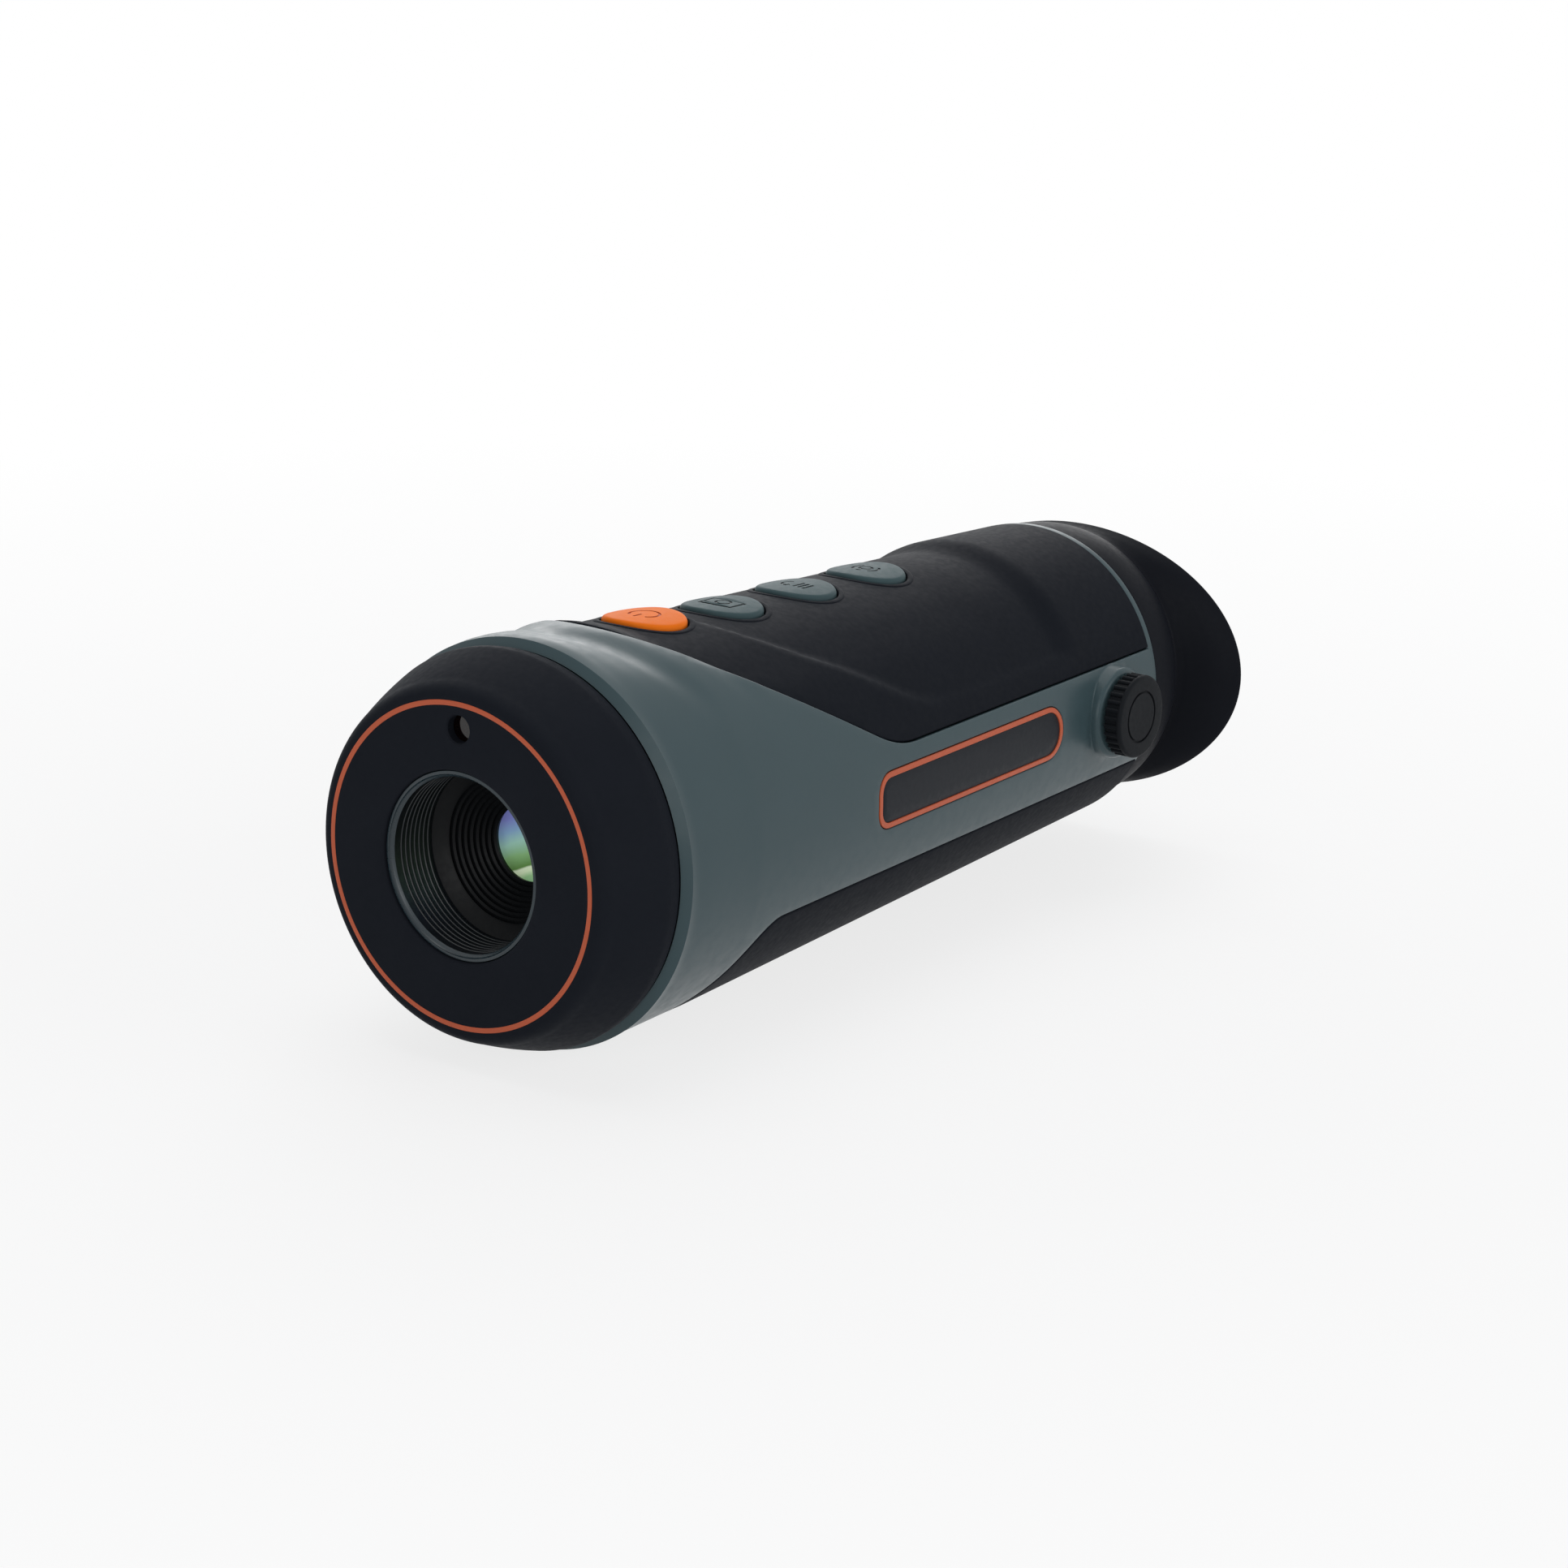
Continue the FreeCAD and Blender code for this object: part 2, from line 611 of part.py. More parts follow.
def lens_barrel():
    bore = size.barrelRadius - size.barrelWall
    seat = size.baffleEnd
    rear_lens = size.rearLensStation
    small = size.lensRadius - size.lensBulge
    finish(turned("lens_barrel", [
        (bore, size.bezelLip),
        (size.barrelRadius, size.bezelLip),
        (size.barrelRadius, size.barrelEnd),
        (small, size.barrelEnd),
        (small, rear_lens),
        (size.lensRadius + size.seatFit, rear_lens),
        (size.lensRadius + size.seatFit, seat),
        (bore, seat)]))
    step = (size.baffleEnd - size.threadEnd) / size.baffleCount
    drop = (bore - size.baffleEdge - size.baffleBore) / size.baffleCount
    steps = []
    for number in range(int(size.baffleCount.value)):
        radius = bore - size.baffleEdge - drop * (number + 1)
        front = size.threadEnd + step * number
        steps += [(radius, front), (radius, front + step)]
    finish(turned("baffle_insert", steps + [(bore - size.closeFit, size.baffleEnd),
                                            (bore - size.closeFit, size.threadEnd)]))
    finish(lens("objective_lens", size.lensRadius, seat + size.lensBulge,
                size.lensThickness, size.lensBulge))
    spacer = seat + size.lensBulge + size.lensThickness + size.spacerGap
    second = rear_lens - size.rearLensThickness - size.rearLensBulge
    spacer_end = second - size.spacerGap
    finish(turned("lens_spacer", [
        (small, spacer), (size.lensRadius, spacer),
        (size.lensRadius, spacer_end), (small, spacer_end)]))
    finish(lens("rear_lens", size.lensRadius, second,
                size.rearLensThickness, size.rearLensBulge))


front_bezel()
bezel_parts()
lens_barrel()


# ---------------------------------------------------------------- housing and covers

def side_outline(label, inset=0.0, half_width=reach):
    """Side view of the side plate, with squarer corners at its front end."""
    front = size.plateFront + inset
    rear = size.plateRear - inset
    low = inset - size.plateLow
    high = size.plateHigh - inset
    body = side_prism(label, [
        (front, low, size.plateFrontRound - inset),
        (rear, low, size.plateRearRound - inset),
        (rear, high, size.plateRearRound - inset),
        (front, high, size.plateFrontRound - inset)], half_width)
    return body


def right_half(label):
    """The half space on the knob's side, as a box."""
    return block(label, reach, size.housingEnd * 2, reach * 2, 0, -margin, -reach)


# the data port stands on the main board, which lies in the middle of the housing
port_rise = size.boardThickness / 2 + size.portHeight / 2


def flap_block(label, grow=0.0):
    """Upright side view of the port cover, on the side away from the knob."""
    grow = as_length(grow)
    return block(label, reach, size.flapLength + grow * 2, size.flapHeight + grow * 2,
                 -reach, size.portStation - size.flapLength / 2 - grow,
                 port_rise - size.flapHeight / 2 - grow)


def main_housing():
    ridge_radius = size.taperFrontRadius + size.ridgeProud - size.ridgeLift
    hollow = ridge_radius - size.ridgeHeight
    first = size.ridgeStation
    second = size.ridgeStation + size.ridgePitch
    half = size.ridgePitch / 2
    ridges = turned("ridges", [
        (0, first - half), (hollow, first - half),
        (ridge_radius, first, size.ridgePitch),
        (hollow, first + half, half),
        (ridge_radius, second, size.ridgePitch),
        (hollow, second + half), (0, second + half)])
    bind_place(ridges, z=size.ridgeLift)
    boss = turned("knob_boss", [
        (size.tubeRadius, 0), (size.bossFace, 0),
        (size.bossFace, size.bossRadius, size.bossRound),
        (size.tubeRadius, size.bossRadius)], "H_Axis")
    bind_place(boss, y=size.knobStation)
    form = fuse("housing_solid", housing_form("housing_outside"), ridges, boss)
    seat = cone("cover_seat", size.coverDepth, size.collarStation + margin,
                size.housingEnd + margin * 2)
    top_pocket = cut("top_pocket", top_zone("top_pocket_side"), seat)
    bottom_pocket = cut("bottom_pocket", bottom_zone("bottom_pocket_side"), seat)
    inset = size.coverDepth + size.wall
    spigot_bore = size.spigotRadius + size.seatFit
    spigot_end = size.collarStation + size.spigotLength + size.endGap
    flange_front = size.housingEnd - size.flangeLength
    bore = turned("housing_bore", [
        (0, size.collarStation - margin),
        (spigot_bore, size.collarStation - margin),
        (spigot_bore, spigot_end),
        (taper(spigot_end, inset), spigot_end),
        (taper(flange_front - margin * 2, inset), flange_front - margin * 2),
        (size.tubeFlange + size.seatFit, flange_front),
        (size.tubeFlange + size.seatFit, size.housingEnd + margin),
        (0, size.housingEnd + margin)])
    stems = button_holes("stem_holes", size.stemRadius + size.stemFit)
    plate_floor = cone("plate_floor", size.plateDepth, size.taperFrontStation,
                       size.taperRearStation)
    plate_pocket = common("plate_pocket", cut("plate_ring", side_outline("plate_side"),
                                              plate_floor), right_half("plate_half"))
    shaft_bore = cylinder("shaft_bore", size.shaftRadius + size.shaftFit, reach,
                          margin, size.knobStation, 0, "X")
    seal_space = size.sealSection * 2 + size.endGap
    seal_groove = cylinder("shaft_seal_groove", size.shaftRadius + seal_space, seal_space,
                           size.bossFace - seal_space - size.sealLip, size.knobStation, 0, "X")
    flap_floor = cone("flap_floor", size.flapThickness + size.endGap, size.taperFrontStation,
                      size.taperRearStation)
    flap_pocket = cut("flap_pocket", flap_block("flap_side", size.flapGap), flap_floor)
    port_hole = block("port_hole", reach, size.portWidth + size.endGap * 2,
                      size.portHeight + size.endGap * 2,
                      -reach, size.portStation - size.portWidth / 2 - size.endGap,
                      size.boardThickness / 2 - size.endGap)
    insert_bore = cylinder("insert_bore", size.insertRadius + size.closeFit, reach,
                           0, size.frontToTripod, -(size.axisHeight + margin), "Z")
    insert_bore.setExpression("Height", (size.insertLength + margin).formula)
    finish(cut("main_housing", form, bore, top_pocket, bottom_pocket, stems, plate_pocket,
               shaft_bore, seal_groove, flap_pocket, port_hole, rest_tool("housing_rest"),
               insert_bore))


def cover_form(label):
    """Outside of the top cover before the grip panel is sunk into it."""
    front = size.topEdgeFront
    body = turned(label, [
        (0, front),
        (taper(front, size.coverDrop), front),
        (taper(size.taperRearStation, size.coverDrop), size.taperRearStation),
        (size.housingEndRadius - size.coverDrop, size.housingEnd),
        (0, size.housingEnd)])
    return bind_place(body, z=-size.coverShift)


def grip_form(label, lift=0.0):
    """Surface of the grip panel, lifted for the button tops."""
    front = size.topEdgeFront - margin
    rear = size.gripRear + margin
    body = turned(label, [
        (0, front),
        (taper(front, size.gripDrop - lift), front),
        (taper(size.gripRise, size.gripDrop - lift), size.gripRise),
        (taper(size.gripRear, size.coverDrop + size.coverShift + size.gripRearDrop
               - size.gripShift - lift), size.gripRear),
        (taper(rear, size.coverDrop + size.coverShift + size.gripRearDrop
               - size.gripShift - lift), rear),
        (0, rear)])
    return bind_place(body, z=-size.gripShift)


def covers():
    seat = cone("cover_seat_inner", size.coverDepth, size.collarStation, size.housingEnd + margin)
    top = common("top_cover_blank", cover_form("cover_outside"),
                 top_zone("top_cover_side", size.coverGap))
    sunk = cut("grip_sunk", grip_zone("grip_side"), grip_form("grip_surface"))
    finish(cut("top_cover", top, seat, sunk,
               button_holes("button_openings", size.buttonRadius + size.buttonGap)))
    bottom = common("bottom_cover_blank", housing_form("bottom_outside"),
                    bottom_zone("bottom_cover_side", size.coverGap))
    spot = cylinder("spot_face", size.spotRadius, reach, 0, size.frontToTripod,
                    -(size.axisHeight + reach), "Z")
    bore = cylinder("cover_insert_bore", size.insertRadius + size.closeFit, reach * 2,
                    0, size.frontToTripod, -reach * 2, "Z")
    finish(cut("bottom_cover", bottom, seat, rest_tool("cover_rest"), spot, bore))


def side_plate():
    floor = cone("plate_seat", size.plateDepth, size.taperFrontStation, size.taperRearStation)
    rim_top = cone("rim_outside", -size.rimProud, size.taperFrontStation, size.taperRearStation)
    plate_top = cone("plate_outside", size.plateSunk, size.taperFrontStation, size.taperRearStation)
    half = right_half("rim_half")
    rim_blank = common("rim_blank", common("rim_slab", side_outline("rim_side", size.closeFit), half),
                       rim_top)
    inner = side_outline("rim_inner", size.plateRim)
    finish(cut("side_plate_rim", rim_blank, floor, inner))
    plate_half = right_half("plate_slab_half")
    plate_blank = common("plate_blank",
                         common("plate_slab", side_outline("plate_body_side", size.plateRim),
                                plate_half), plate_top)
    finish(cut("side_plate", plate_blank, cone("plate_seat_inner", size.plateDepth,
                                               size.taperFrontStation, size.taperRearStation)))


main_housing()
covers()
side_plate()


# ---------------------------------------------------------------- buttons and electronics

def buttons():
    board_top = size.keyBoardHeight
    stem_bottom = board_top + size.domeHeight + size.buttonTravel + size.endGap
    for number, name in enumerate(button_names):
        station = stations[number]
        under = (taper(station - size.buttonRadius, size.coverDepth)
                 + size.buttonTravel + size.buttonUnder)
        head = cylinder(name + "_head", size.buttonRadius, reach, 0, station, under, "Z")
        if number == 0:
            # the first button stands ahead of the grip panel
            front = size.topEdgeFront
            crown = turned(name + "_crown", [
                (0, front), (taper(front, size.coverDrop - size.buttonProud), front),
                (taper(size.gripRise, size.coverDrop - size.buttonProud), size.gripRise),
                (0, size.gripRise)])
            bind_place(crown, z=-size.coverShift)
        else:
            crown = grip_form(name + "_crown", size.buttonProud)
        cap = common(name + "_cap", head, crown)
        doc.recompute()
        rim = max(range(len(cap.Shape.Edges)), key=lambda i: cap.Shape.Edges[i].CenterOfMass.z)
        rounded = doc.addObject("Part::Fillet", name + "_rounded")
        rounded.Base = cap
        rounded.Edges = [(rim + 1, size.buttonEdge.value, size.buttonEdge.value)]
        stem = cylinder(name + "_stem", size.stemRadius, under + size.stemRoot - stem_bottom,
                        0, station, stem_bottom, "Z")
        finish(fuse(name, rounded, stem))
    board_front = stations[0] - size.buttonRadius
    finish(block("button_board", size.keyBoardHalf * 2,
                 size.mainBoardRear - board_front, size.boardThickness,
                 -size.keyBoardHalf, board_front, board_top - size.boardThickness))
    domes = [cylinder(f"dome_{number}", size.domeRadius, size.domeHeight, 0, station,
                      board_top, "Z") for number, station in enumerate(stations)]
    finish(fuse("dome_switches", *domes))


def shutter_and_sensor():
    front = size.barrelEnd
    rear = front + size.shutterThickness
    frame_radius = taper(rear, size.coverDepth + size.wall + size.shutterGap)
    pocket = frame_radius - size.shutterRim
    floor = front + (size.shutterThickness - size.flagThickness) / 2 - size.flagGap
    blade = floor + size.flagGap
    plate = turned("shutter_plate", [
        (size.shutterAperture, front), (frame_radius, front), (frame_radius, rear),
        (pocket, rear), (pocket, floor), (size.shutterAperture, floor)])
    pin = cylinder("flag_pin", size.pivotRadius, rear - floor + size.endGap,
                   size.pivotSide, floor - size.endGap, -size.pivotDrop)
    # the frame is cut off flat under the button board
    level = size.keyBoardHeight - size.boardThickness - size.frameTop
    flat = block("frame_flat", frame_radius * 2, size.shutterThickness + margin * 2,
                 frame_radius, -frame_radius, front - margin, level)
    finish(cut("shutter_frame", fuse("frame_solid", plate, pin), flat))
    disc = cylinder("flag_disc", size.flagRadius, size.flagThickness, 0, blade, 0)
    hub = cylinder("flag_hub", size.pivotHub, size.flagThickness,
                   size.pivotSide, blade, -size.pivotDrop)
    half = size.flagArm
    arm_body = new_body("flag_arm")
    sketch = body_sketch(arm_body, "flag_arm_outline", "XZ_Plane", [
        (-half, -half), (size.pivotSide - half, -(size.pivotDrop + half)),
        (size.pivotSide + half, half - size.pivotDrop), (half, half)], -blade)
    pad = arm_body.newObject("PartDesign::Pad", "flag_arm_pad")
    pad.Profile = sketch
    pad.Reversed = True
    bind(pad, "Length", size.flagThickness)
    arm_body.Tip = pad
    hole = cylinder("flag_hole", size.pivotRadius + size.seatFit, size.flagThickness * 3,
                    size.pivotSide, blade - size.flagThickness, -size.pivotDrop)
    finish(cut("shutter_flag", fuse("flag_solid", disc, hub, arm_body), hole))
    half = size.sensorSide / 2
    mask = block("sensor_case", size.sensorSide, size.sensorDepth, size.sensorSide,
                 -half, rear, -half)
    window = cylinder("sensor_opening", size.shutterAperture, size.sensorDepth / 2,
                      0, rear - margin, 0)
    finish(cut("sensor_module", mask, window))


def boards_and_power():
    length = size.mainBoardRear - size.mainBoardFront
    top = size.boardThickness / 2
    finish(block("main_board", size.mainBoardHalf * 2, length, size.boardThickness,
                 -size.mainBoardHalf, size.mainBoardFront, -top))
    finish(block("processor_shield", size.shieldSide, size.shieldSide, size.shieldHeight,
                 -(size.shieldSide / 2), size.mainBoardFront + size.shieldSide / 2, top))
    outer = size.batteryRadius + size.holderWall
    tray_front = size.batteryFront - size.holderWall
    tray_length = size.batteryLength + size.holderWall * 2
    # the tray hangs just clear of the housing's wall at its narrower end
    drop = outer - taper(tray_front + tray_length,
                         size.coverDepth + size.wall + size.batteryGap)
    finish(cylinder("battery_cell", size.batteryRadius, size.batteryLength,
                    0, size.batteryFront, drop))
    tray = cylinder("tray_outside", outer, tray_length, 0, tray_front, drop)
    well = cylinder("tray_well", size.batteryRadius + size.closeFit, size.batteryLength,
                    0, size.batteryFront, drop)
    lid = block("tray_lid", outer * 2, tray_length, outer, -outer, tray_front, drop)
    finish(cut("battery_holder", tray, well, lid))


def data_port():
    flat = taper(size.portStation + size.flapLength / 2, size.flapThickness) - size.portClear
    shell = block("port_shell", size.portDepth, size.portWidth, size.portHeight,
                  -flat, size.portStation - size.portWidth / 2, size.boardThickness / 2)
    wall = size.portWall
    mouth = block("port_mouth", size.portDepth, size.portWidth - wall * 2,
                  size.portHeight - wall * 2, -(flat + wall),
                  size.portStation - size.portWidth / 2 + wall, size.boardThickness / 2 + wall)
    finish(cut("data_port", shell, mouth))
    flap = common("flap_blank", flap_block("flap_slab"),
                  cone("flap_outside", 0, size.taperFrontStation, size.taperRearStation))
    floor = cone("flap_inside", size.flapThickness, size.taperFrontStation,
                 size.taperRearStation)
    finish(cut("port_cover", flap, floor))


def tripod_insert():
    mouth = -size.axisHeight
    body = cylinder("insert_body", size.insertRadius, size.insertLength,
                    0, size.frontToTripod, mouth, "Z")
    thread = cylinder("insert_thread", size.threadRadius, size.threadDepth + margin,
                      0, size.frontToTripod, mouth - margin, "Z")
    finish(cut("tripod_insert", body, thread))


buttons()
shutter_and_sensor()
boards_and_power()
data_port()
tripod_insert()


# ---------------------------------------------------------------- eyepiece and dioptre knob

def eyepiece():
    flange_front = size.housingEnd - size.flangeLength
    tube = turned("tube_form", [
        (size.tubeBore, size.tubeFront),
        (size.tubeRadius, size.tubeFront),
        (size.tubeRadius, flange_front),
        (size.tubeFlange, flange_front),
        (size.tubeFlange, size.housingEnd),
        (size.neckRadius, size.housingEnd),
        (size.neckRadius, size.neckEnd),
        (size.tubeBore, size.neckEnd)])
    crank_hole = cylinder("crank_hole", size.crankRadius + size.crankGap, size.tubeRadius,
                          size.carrierBore / 2, size.knobStation, 0, "X")
    finish(cut("eyepiece_tube", tube, crank_hole))
    finish(turned("trim_ring", [
        (size.neckRadius + size.seatFit, size.housingEnd),
        (size.trimRadius, size.housingEnd),
        (size.trimRadius, size.housingEnd + size.trimWidth),
        (size.neckRadius + size.seatFit, size.housingEnd + size.trimWidth)]))
    carrier = turned("carrier_form", [
        (size.carrierBore, size.carrierFront), (size.carrierRadius, size.carrierFront),
        (size.carrierRadius, size.carrierRear), (size.carrierBore, size.carrierRear)])
    half = size.crankPin + size.crankPinFit
    low = size.crankSlotLow
    slot = block("carrier_slot", size.carrierRadius, half * 2,
                 size.crankThrow + size.crankPin + size.crankPinFit * 2 - low,
                 size.carrierBore / 2, size.knobStation - half, low)
    finish(cut("lens_carrier", carrier, slot))
    lens_front = size.carrierRear - size.eyeLensThickness - size.eyeLensInset
    finish(lens("eyepiece_lens", size.eyeLensRadius, lens_front, size.eyeLensThickness,
                size.eyeLensBulge))
    finish(lens("field_lens", size.eyeLensRadius, size.knobStation + size.crankPin * 3,
                size.fieldLensThickness, size.fieldLensBulge))
    stop_front = size.carrierRear + size.carrierTravel + size.stopGap
    stop_radius = size.tubeBore - size.closeFit
    finish(turned("eyepiece_stop", [
        (size.carrierBore, stop_front), (stop_radius, stop_front),
        (stop_radius, size.neckEnd), (size.carrierBore, size.neckEnd)]))
    finish(turned("display_board", [
        (0, size.tubeFront - size.boardThickness),
        (size.tubeRadius, size.tubeFront - size.boardThickness),
        (size.tubeRadius, size.tubeFront), (0, size.tubeFront)]))
    finish(block("display", size.displayWidth, size.displayDepth, size.displayHeight,
                 -(size.displayWidth / 2), size.tubeFront, -(size.displayHeight / 2)))


def knob():
    groove = size.knobGroove / 2
    bore_end = size.knobBack + size.knobBore
    body = turned("dioptre_knob", [
        (size.knobBack, size.shaftRadius),
        (size.knobBack, size.knobRadius),
        (size.knobFace - size.knobChamfer, size.knobRadius),
        (size.knobFace, size.knobRadius - size.knobChamfer),
        (size.knobFace, size.knobRing + groove),
        (size.knobFace - size.knobGroove, size.knobRing + groove),
        (size.knobFace - size.knobGroove, size.knobRing - groove),
        (size.knobFace, size.knobRing - groove),
        (size.knobFace, 0),
        (bore_end, 0),
        (bore_end, size.shaftRadius)], "H_Axis")
    sketch = body.newObject("Sketcher::SketchObject", "knurl_outline")
    plane = next(f for f in body.Origin.OriginFeatures if f.Role == "YZ_Plane")
    sketch.AttachmentSupport = (plane, "")
    sketch.MapMode = "FlatFace"
    sketch.setExpression("AttachmentOffset.Base.z", size.knobBack.formula)
    centre = FreeCAD.Vector((size.knobRadius + size.knurlOut).value, 0, 0)
    sketch.addGeometry(Part.Circle(centre, FreeCAD.Vector(0, 0, 1), size.knurlRadius.value))
    sketch.addConstraint(Sketcher.Constraint("PointOnObject", 0, 3, -1))
    away = sketch.addConstraint(Sketcher.Constraint("DistanceX", -1, 1, 0, 3, centre.x))
    sketch.setExpression(f"Constraints[{away}]", (size.knobRadius + size.knurlOut).formula)
    round_ = sketch.addConstraint(Sketcher.Constraint("Radius", 0, size.knurlRadius.value))
    sketch.setExpression(f"Constraints[{round_}]", size.knurlRadius.formula)
    doc.recompute()
    before = body.Shape.Volume
    notch = body.newObject("PartDesign::Pocket", "knurl")
    notch.Profile = sketch
    notch.Reversed = True
    bind(notch, "Length", size.knobFace - size.knobBack)
    doc.recompute()
    pattern = body.newObject("PartDesign::PolarPattern", "knurls")
    pattern.Originals = [notch]
    axis = next(f for f in body.Origin.OriginFeatures if f.Role == "X_Axis")
    pattern.Axis = (axis, [""])
    pattern.Angle = 360
    bind(pattern, "Occurrences", size.knurlCount)
    body.Tip = pattern
    doc.recompute()
    assert body.Shape.Volume < before, "the knurls cut nothing"
    bind_place(body, y=size.knobStation)
    finish(body)
    shaft_inner = size.crankInner
    shaft = turned("shaft_form", [
        (shaft_inner, 0), (shaft_inner, size.crankRadius),
        (shaft_inner + size.crankThickness, size.crankRadius),
        (shaft_inner + size.crankThickness, size.shaftRadius),
        (bore_end, size.shaftRadius), (bore_end, 0)], "H_Axis")
    bind_place(shaft, y=size.knobStation)
    pin = cylinder("crank_pin", size.crankPin, shaft_inner - size.crankPinInner + size.endGap,
                   size.crankPinInner, size.knobStation, size.crankThrow, "X")
    finish(fuse("knob_shaft", shaft, pin))
    seal = doc.addObject("Part::Torus", "knob_seal")
    bind(seal, "Radius1", size.shaftRadius + size.sealSection + size.closeFit)
    bind(seal, "Radius2", size.sealSection)
    seal.Placement.Rotation = FreeCAD.Rotation(FreeCAD.Vector(0, 1, 0), 90)
    bind_place(seal, size.bossFace - size.sealSection - size.seatFit - size.sealLip,
               size.knobStation, 0)
    finish(seal)


def eyecup():
    thick = size.cupThickness

    def oval(name, wide, high, station):
        """An ellipse about the optical axis, wider than it is high."""
        curve = doc.addObject("Part::Ellipse", name)
        bind(curve, "MajorRadius", as_length(wide))
        bind(curve, "MinorRadius", as_length(high))
        curve.Placement.Rotation = FreeCAD.Rotation(FreeCAD.Vector(1, 0, 0), 90)
        return bind_place(curve, 0, as_length(station), 0)

    def loft(name, sections):
        body = doc.addObject("Part::Loft", name)
        body.Sections = sections
        body.Solid = True
        body.Ruled = False
        return body

    fold = size.cupFold
    middle = (fold + size.cupRim) / 2
    mid_wide = (size.cupFoldRadius + size.cupHalfWidth) / 2
    mid_high = (size.cupFoldRadius + size.cupHalfHeight) / 2
    outer = loft("cup_flare", [
        oval("cup_fold_oval", size.cupFoldRadius, size.cupFoldRadius, fold),
        oval("cup_middle_oval", mid_wide + size.cupSpread, mid_high, middle),
        oval("cup_rim_oval", size.cupHalfWidth, size.cupHalfHeight, size.cupRim)])
    neck = turned("cup_neck", [
        (0, size.cupFront), (size.cupRadius, size.cupFront),
        (size.cupRadius - size.cupNeckTaper, size.cupNeckEnd), (size.cupFoldRadius, fold), (0, fold)])
    web = size.neckEnd + size.endGap * 2
    inner = loft("cup_bowl", [
        oval("bowl_front_oval", size.carrierRadius, size.carrierRadius, web - margin),
        oval("bowl_middle_oval", mid_wide - thick - size.cupSpread,
             mid_high - thick - size.endGap, middle + size.cupSpread),
        oval("bowl_rim_oval", size.cupHalfWidth - size.cupLip, size.cupHalfHeight - size.cupLip,
             size.cupRim + size.seatFit)])
    bore = cylinder("cup_bore", size.cupBore, web - size.cupFront + margin,
                    0, size.cupFront - margin, 0)
    hollow = size.cupHalfWidth * size.cupHalfWidth / (size.cupDip * 2)
    saddle = cylinder("cup_saddle", hollow, reach * 2, 0,
                      size.cupRim - size.cupDip + hollow, -reach, "Z")
    finish(cut("eyecup", fuse("cup_solid", neck, outer), bore, inner, saddle))


eyepiece()
knob()
eyecup()


# ---------------------------------------------------------------- placing and writing

def place_nodes():
    """Move every finished piece so that the origin is the tripod thread's mouth."""
    for node in nodes:
        base = dict(node.ExpressionEngine)
        for axis, shift in (("y", -size.frontToTripod), ("z", size.axisHeight)):
            path = f"Placement.Base.{axis}"
            old = next((text for key, text in base.items() if key.lstrip(".") == path), "0")
            node.setExpression(path, f"{old} + {shift.formula}")


def check_and_write():
    doc.recompute()
    faults = [f"{thing.Name}: {thing.State}" for thing in doc.Objects
              if "Invalid" in thing.State or "Error" in thing.State]
    for node in nodes:
        if node.Shape.isNull() or not node.Shape.isValid() or not node.Shape.Solids:
            faults.append(f"{node.Label}: no valid solid")
    if faults:
        raise RuntimeError("; ".join(faults))
    os.makedirs("parts", exist_ok=True)
    for node in nodes:
        node.Shape.exportStep(f"parts/{node.Label}.step")
    print(len(nodes), "pieces written")


place_nodes()
check_and_write()
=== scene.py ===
import json
import math

import bmesh
import bpy
import numpy as np
from mathutils import Matrix, Vector
from mathutils.geometry import delaunay_2d_cdt


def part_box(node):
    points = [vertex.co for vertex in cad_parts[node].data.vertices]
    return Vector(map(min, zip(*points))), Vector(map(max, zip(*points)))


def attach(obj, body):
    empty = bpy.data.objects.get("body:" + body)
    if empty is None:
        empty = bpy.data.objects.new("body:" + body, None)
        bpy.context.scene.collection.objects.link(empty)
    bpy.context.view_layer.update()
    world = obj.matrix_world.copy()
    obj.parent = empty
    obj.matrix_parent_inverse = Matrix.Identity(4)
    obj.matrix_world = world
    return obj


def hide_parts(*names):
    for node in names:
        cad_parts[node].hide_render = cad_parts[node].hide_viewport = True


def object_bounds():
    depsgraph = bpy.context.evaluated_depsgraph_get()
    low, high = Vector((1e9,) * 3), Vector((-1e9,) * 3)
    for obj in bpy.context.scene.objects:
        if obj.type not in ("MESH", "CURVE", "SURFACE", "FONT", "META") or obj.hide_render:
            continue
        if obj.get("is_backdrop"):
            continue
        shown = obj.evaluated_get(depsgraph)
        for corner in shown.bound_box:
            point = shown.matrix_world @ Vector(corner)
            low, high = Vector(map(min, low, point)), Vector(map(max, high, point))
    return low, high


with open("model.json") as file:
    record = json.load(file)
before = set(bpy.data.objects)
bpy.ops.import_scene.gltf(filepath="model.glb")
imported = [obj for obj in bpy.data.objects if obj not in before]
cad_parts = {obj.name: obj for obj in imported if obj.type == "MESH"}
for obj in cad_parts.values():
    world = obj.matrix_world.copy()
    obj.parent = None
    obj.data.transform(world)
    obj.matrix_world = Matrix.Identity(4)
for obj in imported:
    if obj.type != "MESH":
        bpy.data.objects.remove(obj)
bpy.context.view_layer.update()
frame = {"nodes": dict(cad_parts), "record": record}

mm = 0.001
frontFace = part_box("front_bezel")[0].y
barrelLow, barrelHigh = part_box("lens_barrel")
axisHeight = (barrelLow.z + barrelHigh.z) / 2
unroll = 28.0  # radius at which angles round the axis become lengths, in mm

# Everything below is drawn in mm about the optical axis: x to the knob's side,
# station back from the front face, z up. place() puts a point into the frame.


def place(x, station, z):
    return (x * mm, frontFace + station * mm, axisHeight + z * mm)


def smooth(value, low, high):
    t = min(max((value - low) / (high - low), 0.0), 1.0)
    return t * t * (3 - 2 * t)


def mix(a, b, t):
    return a + (b - a) * t


